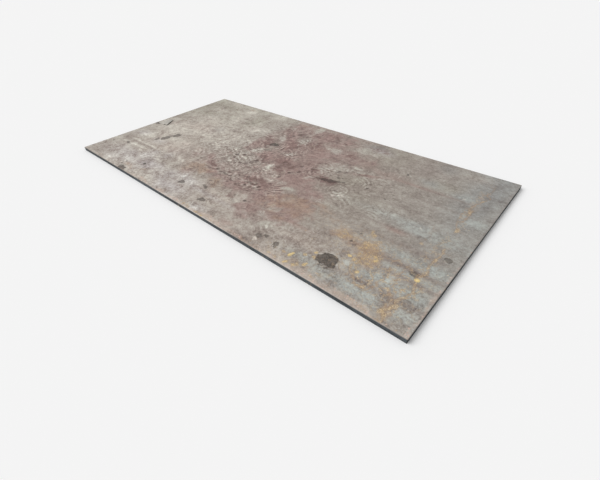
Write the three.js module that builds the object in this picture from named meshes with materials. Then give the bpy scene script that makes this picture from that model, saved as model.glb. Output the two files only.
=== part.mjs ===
// Steel plate: one rectangular hot-rolled plate, cut to size with a torch.
//
// The plate is a single solid. It lies flat, with its underside on z = 0 and its centre over the
// origin. Its length runs along X and its width along Y. Units are millimetres.
//
// Plate of this thickness is too heavy for a shear, so a torch cuts all four sides. That gives the
// section its character: the flame melts the upper arris round, while the lower arris keeps a small
// dressed bevel where the slag was knocked off. The sides between them are plumb.

import * as THREE from 'three';

// Driving dimensions
const PLATE_LENGTH = 3000;
const PLATE_WIDTH = 1500;
const PLATE_THICKNESS = 28;

// The cut edge
const TOP_ARRIS_RADIUS = 1.6; // the arris that the flame entered by, melted round
const BOTTOM_BEVEL_HEIGHT = 0.8; // the arris that the slag hung from, dressed
const BOTTOM_BEVEL_DEPTH = 0.8;
const CORNER_RADIUS = 3; // plan radius where the torch turned from one side to the next

// Facets
const CORNER_STEPS = 6; // straight steps around a quarter turn of the plan outline
const ARRIS_STEPS = 5; // straight steps around the quarter round of the upper arris
const SHARPEST_CORNER = 0.05; // least plan radius, so that no two points of an outline meet

// The section of a side, from the underside to the top face. Each step is a height, and how far the
// plan outline is drawn in from the full size at that height.
function sideSection() {
  const steps = [
    { z: 0, inset: BOTTOM_BEVEL_DEPTH },
    { z: BOTTOM_BEVEL_HEIGHT, inset: 0 },
  ];
  for (let i = 0; i <= ARRIS_STEPS; i++) {
    const turn = (Math.PI / 2) * (i / ARRIS_STEPS);
    steps.push({
      z: PLATE_THICKNESS - TOP_ARRIS_RADIUS * (1 - Math.sin(turn)),
      inset: TOP_ARRIS_RADIUS * (1 - Math.cos(turn)),
    });
  }
  return steps;
}

// The plan outline, drawn in by the inset: a rectangle with round corners, anticlockwise from the
// end of the +X side. An inset makes the corners sharper, as it does on the real arris.
function planOutline(inset) {
  const halfLength = PLATE_LENGTH / 2 - inset;
  const halfWidth = PLATE_WIDTH / 2 - inset;
  const radius = Math.max(CORNER_RADIUS - inset, SHARPEST_CORNER);
  const corners = [
    { x: 1, y: 1 },
    { x: -1, y: 1 },
    { x: -1, y: -1 },
    { x: 1, y: -1 },
  ];
  const points = [];
  corners.forEach((corner, quarter) => {
    const centreX = corner.x * (halfLength - radius);
    const centreY = corner.y * (halfWidth - radius);
    for (let i = 0; i <= CORNER_STEPS; i++) {
      const turn = (Math.PI / 2) * (quarter + i / CORNER_STEPS);
      points.push(new THREE.Vector2(
        centreX + radius * Math.cos(turn),
        centreY + radius * Math.sin(turn),
      ));
    }
  });
  return points;
}

// Lofts the plan outline up the section of the side, and closes the two flat faces.
function plateGeometry() {
  const rings = sideSection().map(({ z, inset }) => ({ z, outline: planOutline(inset) }));
  const count = rings[0].outline.length;
  const positions = rings.flatMap(({ z, outline }) => outline.flatMap((p) => [p.x, p.y, z]));
  const indices = [];

  // The four sides, ring by ring
  for (let ring = 0; ring < rings.length - 1; ring++) {
    for (let i = 0; i < count; i++) {
      const next = (i + 1) % count;
      const lower = ring * count;
      const upper = lower + count;
      indices.push(lower + i, lower + next, upper + next);
      indices.push(lower + i, upper + next, upper + i);
    }
  }

  // The underside faces down and the top face up
  const top = (rings.length - 1) * count;
  for (const [a, b, c] of THREE.ShapeUtils.triangulateShape(rings[0].outline, [])) {
    indices.push(a, c, b);
  }
  for (const [a, b, c] of THREE.ShapeUtils.triangulateShape(rings[rings.length - 1].outline, [])) {
    indices.push(top + a, top + b, top + c);
  }

  const geometry = new THREE.BufferGeometry();
  geometry.setAttribute('position', new THREE.Float32BufferAttribute(positions, 3));
  geometry.setIndex(indices);
  return geometry;
}

// Mill scale, weathered to a warm grey with a bloom of rust
const millScale = new THREE.MeshStandardMaterial({
  color: 0xa59e96,
  roughness: 0.7,
  metalness: 0.35,
  flatShading: true,
});

const plate = new THREE.Mesh(plateGeometry(), millScale);
plate.name = 'steel_plate';

const part = new THREE.Group();
part.add(plate);

export default part;
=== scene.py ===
# %% [markdown]
# # A weathered steel plate
#
# The object is one hot-rolled steel plate: three metres by one and a half, 28 mm thick, lying flat.
# Its shape is a slab with torch-cut sides. Almost everything that makes it look real is in its skin:
# blue-grey mill scale, a bloom of red-brown oxide, patches that boots and chains have worn pale,
# stains, and the first orange rust.

# %% Load the frame
import math

import bpy
import numpy as np
from mathutils import Matrix, Vector, noise


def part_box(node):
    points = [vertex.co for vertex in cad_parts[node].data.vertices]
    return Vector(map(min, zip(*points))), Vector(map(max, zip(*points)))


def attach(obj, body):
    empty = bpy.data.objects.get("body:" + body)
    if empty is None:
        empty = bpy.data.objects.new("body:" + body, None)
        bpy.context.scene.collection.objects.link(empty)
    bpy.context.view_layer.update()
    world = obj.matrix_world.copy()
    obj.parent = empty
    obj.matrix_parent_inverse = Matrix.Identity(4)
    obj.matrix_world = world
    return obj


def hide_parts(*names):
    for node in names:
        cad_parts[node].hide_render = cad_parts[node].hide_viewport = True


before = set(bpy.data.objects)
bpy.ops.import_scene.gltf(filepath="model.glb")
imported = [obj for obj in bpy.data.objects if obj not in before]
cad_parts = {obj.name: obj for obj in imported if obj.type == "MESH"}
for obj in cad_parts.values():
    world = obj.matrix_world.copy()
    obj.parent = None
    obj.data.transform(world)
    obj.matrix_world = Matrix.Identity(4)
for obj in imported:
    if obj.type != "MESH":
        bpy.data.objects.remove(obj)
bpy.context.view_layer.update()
lowest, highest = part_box("steel_plate")
LENGTH, WIDTH, THICKNESS = highest - lowest
TOP = highest.z
scene = bpy.context.scene
print(f"plate {LENGTH:.3f} x {WIDTH:.3f} x {THICKNESS:.3f} m, top face at {TOP:.3f} m")

# %% [markdown]
# ## The camera
#
# A camera is placed by where it stands and what it looks at. Two more numbers finish it: a small roll,
# because a camera held in the hands is never quite level, and a sideways shift of the lens, which
# moves the image over the sensor without turning the view.

# %% Camera
EYE = Vector((1.768, -1.610, TOP + 1.208))
AIM = Vector((0.781, -0.525, TOP))
ROLL = math.radians(-2.59)
LENS_MM = 21.1
SENSOR_MM = 36
SHIFT = (-0.0125, 0.0008)

lens = bpy.data.cameras.new("camera")
lens.lens = LENS_MM
lens.sensor_width = SENSOR_MM
lens.shift_x, lens.shift_y = SHIFT
camera = bpy.data.objects.new("camera", lens)
facing = (AIM - EYE).to_track_quat("-Z", "Y").to_matrix().to_4x4()
camera.matrix_world = Matrix.Translation(EYE) @ facing @ Matrix.Rotation(ROLL, 4, "Z")
scene.collection.objects.link(camera)
scene.camera = camera
print(f"camera {(AIM - EYE).length:.2f} m from the point it looks at")

# %% [markdown]
# ## Colours
#
# A painter picks a colour on a screen, where the numbers are spaced for the eye. Nodes reckon with the
# amount of light, so every colour is turned into light once, here.


# %% Colours
def paint(red, green, blue):
    """A colour as picked on a screen, 0 to 255, in the linear values that nodes use."""
    shares = [c / 255 for c in (red, green, blue)]
    return (*[c / 12.92 if c <= 0.04045 else ((c + 0.055) / 1.055) ** 2.4 for c in shares], 1.0)


print("the middle grey of a screen is this share of white light:", round(paint(128, 128, 128)[0], 3))

# %% [markdown]
# ## Wiring nodes
#
# Materials and scattered crumbs are both trees of nodes. A few helpers keep the trees readable. The
# first class adds a node and feeds its inputs with numbers or with the outputs of other nodes.


# %% Wiring
class Wiring:
    """Adds nodes to a tree and wires them."""

    def __init__(self, tree):
        self.tree = tree

    def feed(self, socket, value):
        if isinstance(value, bpy.types.NodeSocket):
            self.tree.links.new(value, socket)
        elif value is not None:
            socket.default_value = value

    def node(self, kind, inputs=None, **settings):
        made = self.tree.nodes.new(kind)
        for name, value in settings.items():
            setattr(made, name, value)
        for name, value in (inputs or {}).items():
            self.feed(made.inputs[name], value)
        return made

    def math(self, operation, *values, clamp=False):
        made = self.node("ShaderNodeMath", operation=operation, use_clamp=clamp)
        for socket, value in zip(made.inputs, values):
            self.feed(socket, value)
        return made.outputs[0]

    def plus(self, first, second):
        return self.math("ADD", first, second)

    def minus(self, first, second, clamp=False):
        return self.math("SUBTRACT", first, second, clamp=clamp)

    def times(self, first, second, clamp=False):
        return self.math("MULTIPLY", first, second, clamp=clamp)

    def squared(self, value):
        return self.math("POWER", value, 2.0)

    def parts(self, vector):
        """The X, Y and Z of a vector."""
        return self.node("ShaderNodeSeparateXYZ", {"Vector": vector}).outputs


print("wiring:", ", ".join(name for name in vars(Wiring) if name[0] != "_"))

# %% [markdown]
# The second class finds places on the object and moves them, and reads noise there. Shaken is what
# keeps a pattern from looking ruled.


# %% Wiring for places
class PlaceWiring(Wiring):
    """Adds the nodes that work with places."""

    def own_place(self):
        """Where a point is on its object, in metres."""
        return self.node("ShaderNodeTexCoord").outputs["Object"]

    def vector(self, operation, *values):
        made = self.node("ShaderNodeVectorMath", operation=operation)
        for socket, value in zip(made.inputs, values):
            self.feed(socket, value)
        return made.outputs["Vector"]

    def turned(self, vector, angle):
        """A vector turned about the upright axis."""
        given = {"Vector": vector, "Angle": angle}
        return self.node("ShaderNodeVectorRotate", given, rotation_type="Z_AXIS").outputs["Vector"]

    def to_the_metre(self, size):
        """How many of this size go to a metre."""
        return self.math("DIVIDE", 1.0, size)

    def noise(self, place, scale, detail=4.0, roughness=0.55, distortion=0.0, colour=False):
        made = self.node("ShaderNodeTexNoise", {"Vector": place, "Scale": scale, "Detail": detail})
        self.feed(made.inputs["Roughness"], roughness)
        self.feed(made.inputs["Distortion"], distortion)
        return made.outputs["Color" if colour else "Fac"]

    def shaken(self, place, scale, detail, reach):
        """A place pushed about by noise, by half the reach each way."""
        push = self.noise(place, scale, detail, 0.6, colour=True)
        push = self.vector("SUBTRACT", push, (0.5, 0.5, 0.5))
        return self.vector("ADD", place, self.vector("MULTIPLY", push, reach))


print("for places:", ", ".join(name for name in vars(PlaceWiring) if name[0] != "_"))

# %% [markdown]
# The third class adds what only materials need: colours laid over each other, and the attributes that
# will be painted on the mesh. Step is the most used: it turns a slow rise into a soft edge.


# %% Wiring for materials
class MaterialWiring(PlaceWiring):
    """Adds the nodes that materials are made of."""

    def step(self, value, start, end, low=0.0, high=1.0):
        """Rises smoothly from low to high while the value goes from start to end."""
        made = self.node("ShaderNodeMapRange", interpolation_type="SMOOTHSTEP")
        for socket, given in zip(made.inputs, (value, start, end, low, high)):
            self.feed(socket, given)
        return made.outputs["Result"]

    def between(self, share, low, high):
        """Goes smoothly from low to high while a share goes from 0 to 1."""
        return self.step(share, 0.0, 1.0, low, high)

    def mix(self, factor, first, second, blend="MIX"):
        made = self.node("ShaderNodeMix", data_type="RGBA", blend_type=blend)
        self.feed(made.inputs[0], factor)
        self.feed(made.inputs[6], first)
        self.feed(made.inputs[7], second)
        return made.outputs[2]

    def coat(self, under, mask, strength, over):
        """Lays a colour over another through a mask."""
        return self.mix(self.times(mask, strength), under, over)

    def tinted(self, colour, light):
        """A colour made lighter or darker, by one number or by one for each of its parts."""
        return self.mix(1.0, colour, light, "MULTIPLY")

    def attribute(self, name, output="Fac"):
        return self.node("ShaderNodeAttribute", attribute_name=name).outputs[output]

    def bump(self, height, strength):
        """The facing of a surface that has this height in metres."""
        given = {"Height": height, "Distance": 1.0, "Strength": strength}
        return self.node("ShaderNodeBump", given).outputs["Normal"]


print("for materials:", ", ".join(name for name in vars(MaterialWiring) if name[0] != "_"))

# %% [markdown]
# An effect that several finishes share is put in a group with named inputs and outputs. It is built
# once and placed wherever it is needed, like a stamp. Most of what goes in and out is plain numbers.


# %% Groups and materials
SOCKETS = {"number": "NodeSocketFloat", "vector": "NodeSocketVector", "colour": "NodeSocketColor"}


def numbers(*names):
    """Sockets for numbers with these names."""
    return [(name, "number") for name in names]


def new_group(name, inputs, outputs):
    """A group with named sockets: its tree, a wiring for it, its inputs and its outputs."""
    tree = bpy.data.node_groups.new(name, "ShaderNodeTree")
    for side, sockets in (("INPUT", inputs), ("OUTPUT", outputs)):
        for socket_name, kind in sockets:
            tree.interface.new_socket(socket_name, in_out=side, socket_type=SOCKETS[kind])
    wires = MaterialWiring(tree)
    return tree, wires, wires.node("NodeGroupInput").outputs, wires.node("NodeGroupOutput").inputs


def use_group(wires, tree, **inputs):
    """Places a group, feeding its inputs by name, and returns its outputs."""
    placed = wires.node("ShaderNodeGroup", node_tree=tree)
    for name, value in inputs.items():
        wires.feed(placed.inputs[name], value)
    return placed.outputs


def new_material(name):
    """A material, a wiring for it, and the inputs of its shader."""
    material = bpy.data.materials.new(name)
    material.use_nodes = True
    inputs = material.node_tree.nodes["Principled BSDF"].inputs
    return material, MaterialWiring(material.node_tree), inputs


print("groups can pass on a", ", a ".join(SOCKETS))

# %% [markdown]
# ## The floor
#
# The plate lies on a plain pale floor. The floor shows its full paleness to the camera and to shiny
# reflections, but throws back less light than that, so the sides of the plate stay darker than its
# face, as they do on open ground.

# %% Floor
FLOOR_HALF = 40.0
FLOOR_SHOWN = 0.98
FLOOR_BOUNCE = 0.25


def seen_directly(wires):
    """1 for the camera and for what glossy and clear surfaces show, 0 for light that bounces."""
    rays = wires.node("ShaderNodeLightPath").outputs
    either = wires.math("MAXIMUM", rays["Is Camera Ray"], rays["Is Glossy Ray"])
    return wires.math("MAXIMUM", either, rays["Is Transmission Ray"])


floor_finish, wires, surface = new_material("pale_floor")
shown = wires.between(seen_directly(wires), FLOOR_BOUNCE, FLOOR_SHOWN)
wires.feed(surface["Base Color"], shown)
surface["Roughness"].default_value = 1.0
surface["Specular IOR Level"].default_value = 0.0

floor_mesh = bpy.data.meshes.new("floor")
corners = [(x * FLOOR_HALF, y * FLOOR_HALF, 0) for x, y in ((-1, -1), (1, -1), (1, 1), (-1, 1))]
floor_mesh.from_pydata(corners, [], [(0, 1, 2, 3)])
floor_mesh.materials.append(floor_finish)
floor = bpy.data.objects.new("floor", floor_mesh)
scene.collection.objects.link(floor)
print(f"floor {2 * FLOOR_HALF:.0f} m square, {FLOOR_SHOWN:.0%} pale, {FLOOR_BOUNCE:.0%} in its bounce")

# %% [markdown]
# ## The light
#
# Outdoors most of the light comes from the whole sky. An even white world gives that, and one big soft
# lamp from the left and the front does the rest: it is wide enough to leave no hard shadow.

# %% Light
SKY_LEVEL = 0.50
LAMP_LEVEL = 1.80
LAMP_FROM = Vector((-0.52, -0.42, 0.74))
LAMP_SPREAD = math.radians(50)

scene.world = bpy.data.worlds.new("studio")
scene.world.use_nodes = True
wires = MaterialWiring(scene.world.node_tree)
sky = scene.world.node_tree.nodes["Background"].inputs
wires.feed(sky["Strength"], wires.between(seen_directly(wires), SKY_LEVEL, 1.0))
sky["Color"].default_value = (1.0, 1.0, 1.0, 1.0)

lamp_data = bpy.data.lights.new("soft_lamp", "SUN")
lamp_data.energy = LAMP_LEVEL
lamp_data.angle = LAMP_SPREAD
lamp = bpy.data.objects.new("soft_lamp", lamp_data)
lamp.matrix_world = LAMP_FROM.to_track_quat("Z", "Y").to_matrix().to_4x4()
scene.collection.objects.link(lamp)
scene.view_settings.view_transform = "Standard"
print(f"sky at {SKY_LEVEL}, lamp at {LAMP_LEVEL} and {math.degrees(LAMP_SPREAD):.0f} degrees wide")

# %% [markdown]
# ## The plate's mesh
#
# A box would do for the outline, but the skin needs points that carry paint and a little relief. So
# the top face is a grid with 8 mm cells. Round the edge, rings of points follow the section of a torch
# cut: the upper arris is melted round, the side is plumb, and the lower arris has a small bevel. The
# underside takes a coarser grid, because nothing is painted there by hand.

# %% Sizes of the mesh
CELL = 0.008  # side of a cell on the top face
COARSE = 6  # cells of the top face to one on the underside, each way
RIM = 0.007  # plain strip between the grid and the outline
ARRIS = 0.0016  # radius of the melted upper arris
BEVEL = 0.0008  # the dressed lower arris
CORNER = 0.003  # radius of the four corners, seen from above
CORNER_STEPS = 6
ARRIS_STEPS = 4
SIDE_ROWS = 6


def grid_lines(size):
    """Places of the grid lines along one side, in whole coarse cells."""
    cells = COARSE * round((size - 2 * RIM) / (CELL * COARSE))
    return np.linspace(RIM - size / 2, size / 2 - RIM, cells + 1)


xs, ys = grid_lines(LENGTH), grid_lines(WIDTH)
LAST_X, LAST_Y = len(xs) - 1, len(ys) - 1
print(f"top grid of {LAST_X} x {LAST_Y} cells")

# %% [markdown]
# One walk round the plate, anticlockwise, gives every ring its points. Each point knows the way it
# faces and the corner of the grid behind it, so that the rings and the grid can be stitched together.
# The four corners turn in small steps.


# %% Walk round the rim
def rim_walk():
    """Points of the outline, the way each one faces, and the grid point (i, j) behind it."""
    right, far = LENGTH / 2, WIDTH / 2
    sides = [
        [(LAST_X, j) for j in range(LAST_Y + 1)],
        [(i, LAST_Y) for i in range(LAST_X, -1, -1)],
        [(0, j) for j in range(LAST_Y, -1, -1)],
        [(i, 0) for i in range(LAST_X + 1)],
    ]
    facings = [(1, 0), (0, 1), (-1, 0), (0, -1)]
    points, ways, behind = [], [], []
    for quarter, cells in enumerate(sides):
        way, turned = facings[quarter], facings[(quarter + 1) % 4]
        for i, j in cells:
            points.append((way[0] * right or xs[i], way[1] * far or ys[j]))
            ways.append(way)
            behind.append((i, j))
        middle_x = (way[0] + turned[0]) * (right - CORNER)
        middle_y = (way[1] + turned[1]) * (far - CORNER)
        for step in range(CORNER_STEPS + 1):
            angle = math.radians(90 * (quarter + step / CORNER_STEPS))
            out_x, out_y = math.cos(angle), math.sin(angle)
            points.append((middle_x + CORNER * out_x, middle_y + CORNER * out_y))
            ways.append((out_x, out_y))
            behind.append(cells[-1])
    return points, ways, behind


rim_points, rim_ways, rim_behind = rim_walk()
print(f"rim: {len(rim_points)} points")

# %% [markdown]
# The rings follow the section of the cut. The flame melts the upper arris into a small round, and a
# grinder has taken the dross off the lower one, which leaves a bevel.


# %% Section of the cut
def side_section():
    """(inset, height) of each ring, from the top face down to the underside."""
    rings = []
    for step in range(ARRIS_STEPS + 1):
        angle = math.radians(90 * step / ARRIS_STEPS)
        rings.append((ARRIS * (1 - math.sin(angle)), TOP - ARRIS * (1 - math.cos(angle))))
    drop = TOP - ARRIS - BEVEL
    rings += [(0.0, TOP - ARRIS - drop * row / SIDE_ROWS) for row in range(1, SIDE_ROWS + 1)]
    return rings + [(BEVEL, 0.0)]


section = side_section()
print(f"section: {len(section)} rings, from {section[0][1]:.4f} m down to the underside")

# %% [markdown]
# Rolled plate is not quite flat to the eye: its face has slow waves of a few tenths of a millimetre.
# The torch wandered a little as it travelled too, and scored the side along the cut. Noise gives all
# three. The waves die out at the arris, so the outline stays true. Noise is read at a place in space,
# and where only two of its three numbers are needed, the third just picks a pattern.

# %% Relief
WAVE = 0.0004  # height of the waves
SLOW_WAVE = 0.45  # length of the slow waves
QUICK_WAVE = 0.11  # length of the quick ones
QUICK_SHARE = 0.4
FADE = 0.04  # strip in which the waves die out
WANDER = 0.0004  # how far the torch wandered
WANDER_ALONG, WANDER_DOWN = 0.30, 0.05
SCORE = 0.0006  # depth of the scores
SCORE_ALONG, SCORE_DOWN = 0.22, 0.004
SCORE_LIMIT = 0.15  # noise below this leaves no score


def face_relief(x, y):
    """How far the waves lift a point of the face."""
    from_edge = min(LENGTH / 2 - abs(x), WIDTH / 2 - abs(y))
    fade = min(1.0, max(0.0, (from_edge - RIM) / FADE))
    slow = noise.noise(Vector((x / SLOW_WAVE, y / SLOW_WAVE, 1.7)))
    quick = noise.noise(Vector((x / QUICK_WAVE, y / QUICK_WAVE, 5.2)))
    return fade * WAVE * (slow + QUICK_SHARE * quick)


def side_relief(x, y, z):
    """How far a point of the side is pushed in from the outline."""
    along = x + y
    wander = abs(noise.noise(Vector((along / WANDER_ALONG, z / WANDER_DOWN, 3.3))))
    score = noise.noise(Vector((along / SCORE_ALONG, z / SCORE_DOWN, 9.1)))
    return WANDER * wander + SCORE * max(0.0, score - SCORE_LIMIT)


highest_wave = max(face_relief(x, 0.0) for x in xs)
print(f"waves of {1000 * highest_wave:.2f} mm at the most along the middle of the face")

# %% [markdown]
# The plate is put together from three parts that share one list of points, one list of faces and one
# list of skins, which says for each face what it will be coated with. The first part is the top grid.

# %% Top grid
TOP_SKIN, CUT_SKIN, UNDER_SKIN = 0, 1, 2
places, faces, skins = [], [], []

for x in xs:
    places += [(x, y, TOP + face_relief(x, y)) for y in ys]
for i in range(LAST_X):
    for j in range(LAST_Y):
        near, far = i * (LAST_Y + 1) + j, (i + 1) * (LAST_Y + 1) + j
        faces.append((near, far, far + 1, near + 1))
        skins.append(TOP_SKIN)
print(f"top grid: {len(faces)} faces")

# %% [markdown]
# The second part is the rings, from the top of the arris down to the underside. The first ring is
# stitched to the grid, and each ring to the next.

# %% Rings of the side
rings = []
for level, (inset, z) in enumerate(section):
    plumb = ARRIS_STEPS < level < len(section) - 1
    rings.append(range(len(places), len(places) + len(rim_points)))
    for (x, y), (out_x, out_y) in zip(rim_points, rim_ways):
        push = inset + (side_relief(x, y, z) if plumb else 0.0)
        places.append((x - push * out_x, y - push * out_y, z))
for k in range(-1, len(rim_points) - 1):
    corners = [i * (LAST_Y + 1) + j for i, j in (rim_behind[k], rim_behind[k + 1])]
    inner = corners[::-1] if corners[0] != corners[1] else corners[:1]
    faces.append((rings[0][k], rings[0][k + 1], *inner))
    skins.append(TOP_SKIN)
    for upper, lower in zip(rings, rings[1:]):
        faces.append((lower[k], lower[k + 1], upper[k + 1], upper[k]))
        skins.append(CUT_SKIN)
print(f"sides: {skins.count(CUT_SKIN)} faces")

# %% [markdown]
# The third part closes the plate from below: a coarse grid, and a strip that joins each of its outer
# edges to the points of the last ring.

# %% Underside
under = {}
for i in range(0, LAST_X + 1, COARSE):
    for j in range(0, LAST_Y + 1, COARSE):
        under[i, j] = len(places)
        places.append((xs[i], ys[j], 0.0))
for i in range(0, LAST_X, COARSE):
    for j in range(0, LAST_Y, COARSE):
        loop = (i, j), (i, j + COARSE), (i + COARSE, j + COARSE), (i + COARSE, j)
        faces.append([under[corner] for corner in loop])
        skins.append(UNDER_SKIN)

last_ring = rings[-1]
stops = [k for k in range(len(last_ring)) if rim_behind[k] in under]
for start, end in zip(stops, stops[1:] + [stops[0] + len(last_ring)]):
    outer = [last_ring[k % len(last_ring)] for k in range(start, end + 1)]
    first, second = under[rim_behind[start]], under[rim_behind[end % len(last_ring)]]
    inner = [second, first] if first != second else [first]
    faces.append((outer + inner)[::-1])
    skins.append(UNDER_SKIN)
print(f"underside: {skins.count(UNDER_SKIN)} faces")

# %% [markdown]
# The lists become a mesh, and the mesh an object. It rides on the model's root and takes the place of
# the plain plate.

# %% The plate as an object
plate_mesh = bpy.data.meshes.new("plate")
plate_mesh.from_pydata(places, [], faces)
plate_mesh.polygons.foreach_set("material_index", skins)
plate_mesh.polygons.foreach_set("use_smooth", [True] * len(faces))
plate_mesh.update()
plate = bpy.data.objects.new("plate", plate_mesh)
scene.collection.objects.link(plate)
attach(plate, "root")
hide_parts("steel_plate")
print(f"plate: {len(places)} points, {sum(len(face) - 2 for face in faces)} triangles")

# %% [markdown]
# ## Painting the skin
#
# Every mark on the plate has a reason: a puddle that dried, a boot that turned on its heel, a sling
# that dragged. Noise alone would scatter them evenly and look made up, so the larger ones are placed
# one by one, as a scene painter would place them. Each is a patch: where its middle is, half its
# length, half its width, its strength in per cent and, if it is turned, its turn in degrees. Plates are
# marked out in millimetres, so these lists are too, from the middle of the plate. The patches are
# written into attributes of the mesh, one for each kind of mark, and the material reads those. The
# points are pushed about by smooth noise before they are measured, so no patch comes out as a perfect
# oval. The noise is given a seed, so every run pushes them the same way.

# %% Points, pushed about
SEED = 2
ROUND_SHARE = 0.6
noise.seed_set(SEED)
points = 1000 * np.array([place[:2] for place in places])


def pushed(reach, pitch, pattern, rounds=1):
    """The points of the skin, moved by noise. Each further round is half as long and less strong."""
    moves = [
        noise.turbulence_vector(
            Vector((x / pitch, y / pitch, pattern)), rounds, False, amplitude_scale=ROUND_SHARE
        )
        for x, y in points
    ]
    return points + reach * np.array(moves)[:, :2]


def shares_out(spots, u, v, half_length, half_width, turn=0):
    """How far each spot is from the middle of an oval, as a share of the way to its edge."""
    cosine, sine = math.cos(math.radians(turn)), math.sin(math.radians(turn))
    from_u, from_v = spots[:, 0] - u, spots[:, 1] - v
    along = from_u * cosine + from_v * sine
    across = from_v * cosine - from_u * sine
    return np.hypot(along / half_length, across / half_width)


soft_spots = pushed(reach=28, pitch=160, pattern=2.0, rounds=4)
crisp_spots = pushed(reach=10, pitch=30, pattern=7.0, rounds=2)
furthest = np.abs(soft_spots - points).max()
print(f"{len(points)} points, pushed by {furthest:.0f} mm at the most")

# %% [markdown]
# There are two kinds of patch. A soft one fades out like breath on glass. A crisp one has an edge: its
# attribute falls through a half at the outline, and because it falls evenly there, the edge stays
# sharp between the points of the mesh.


# %% Two kinds of patch
EDGE_SPAN = 16
FAR_OUTSIDE = -1000.0


def keep(name, values):
    """Writes one value for each point into an attribute of the plate."""
    layer = plate_mesh.attributes.new(name, "FLOAT", "POINT")
    layer.data.foreach_set("value", np.clip(values, 0, 1).astype(np.float32))


def soft_patches(name, patches):
    """Patches that fade out, with half their strength at their outline. Where they meet they add up."""
    bare = np.ones(len(points))
    for u, v, half_length, half_width, strength, *turn in patches:
        out = shares_out(soft_spots, u, v, half_length, half_width, *turn)
        bare *= 1 - strength / 100 * np.exp2(-(out**2))
    keep(name, 1 - bare)
    print(f"{name}: {len(patches)} soft patches cover {np.mean(bare < 0.5):.0%} of the points")


def crisp_patches(name, patches):
    """Patches with an edge: the attribute is 0.5 at the outline. A second one keeps the strength."""
    nearest = np.full(len(points), FAR_OUTSIDE)
    strengths = np.zeros(len(points))
    for u, v, half_length, half_width, strength, *turn in patches:
        out = shares_out(crisp_spots, u, v, half_length, half_width, *turn)
        inside = (1 - out) * min(half_length, half_width)
        strengths[inside > nearest] = strength / 100
        nearest = np.maximum(nearest, inside)
    keep(name, 0.5 + nearest / EDGE_SPAN)
    keep(name + "_strength", strengths)
    print(f"{name}: {len(patches)} crisp patches")


print(f"a crisp patch goes from 0 to 1 over {EDGE_SPAN} mm at its outline")

# %% [markdown]
# ## The film
#
# Under everything lies the film: mill scale with a thin coat of dust and rain stains. It is pale and
# warm at the left, where dust has settled and a painted sheen stands for the sky that the far end
# reflects, brown in the middle, and cooler to the right, where the blue-grey scale shows. A colour
# attribute carries it, mixed from broad washes like a watercolour.

# %% Film: the palette
FILM_BASE = (154, 146, 137)
# Dust, which at the far left end also stands in for a painted sheen.
DUST_AND_SHEEN = (181, 172, 161)
OLIVE = (162, 157, 144)
MOSS = (148, 141, 127)
ROSE = (186, 171, 161)
PALE = (202, 195, 184)
WHITE = (208, 204, 200)
LILAC = (181, 174, 172)
MAUVE = (160, 152, 152)
CREAM = (180, 167, 156)
BROWN = (150, 135, 125)
UMBER = (128, 114, 106)
TAN = (168, 158, 149)
COOL = (147, 143, 137)
SLATE = (137, 137, 135)
BLUE = (166, 169, 164)
BAND_BROWN = (136, 124, 117)
BAND_RED = (146, 121, 112)
print(f"the plain film reflects {paint(*FILM_BASE)[0]:.0%} of the red light")

# %% [markdown]
# The washes are broad and fade into each other, one after another, in the order of the list.

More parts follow.
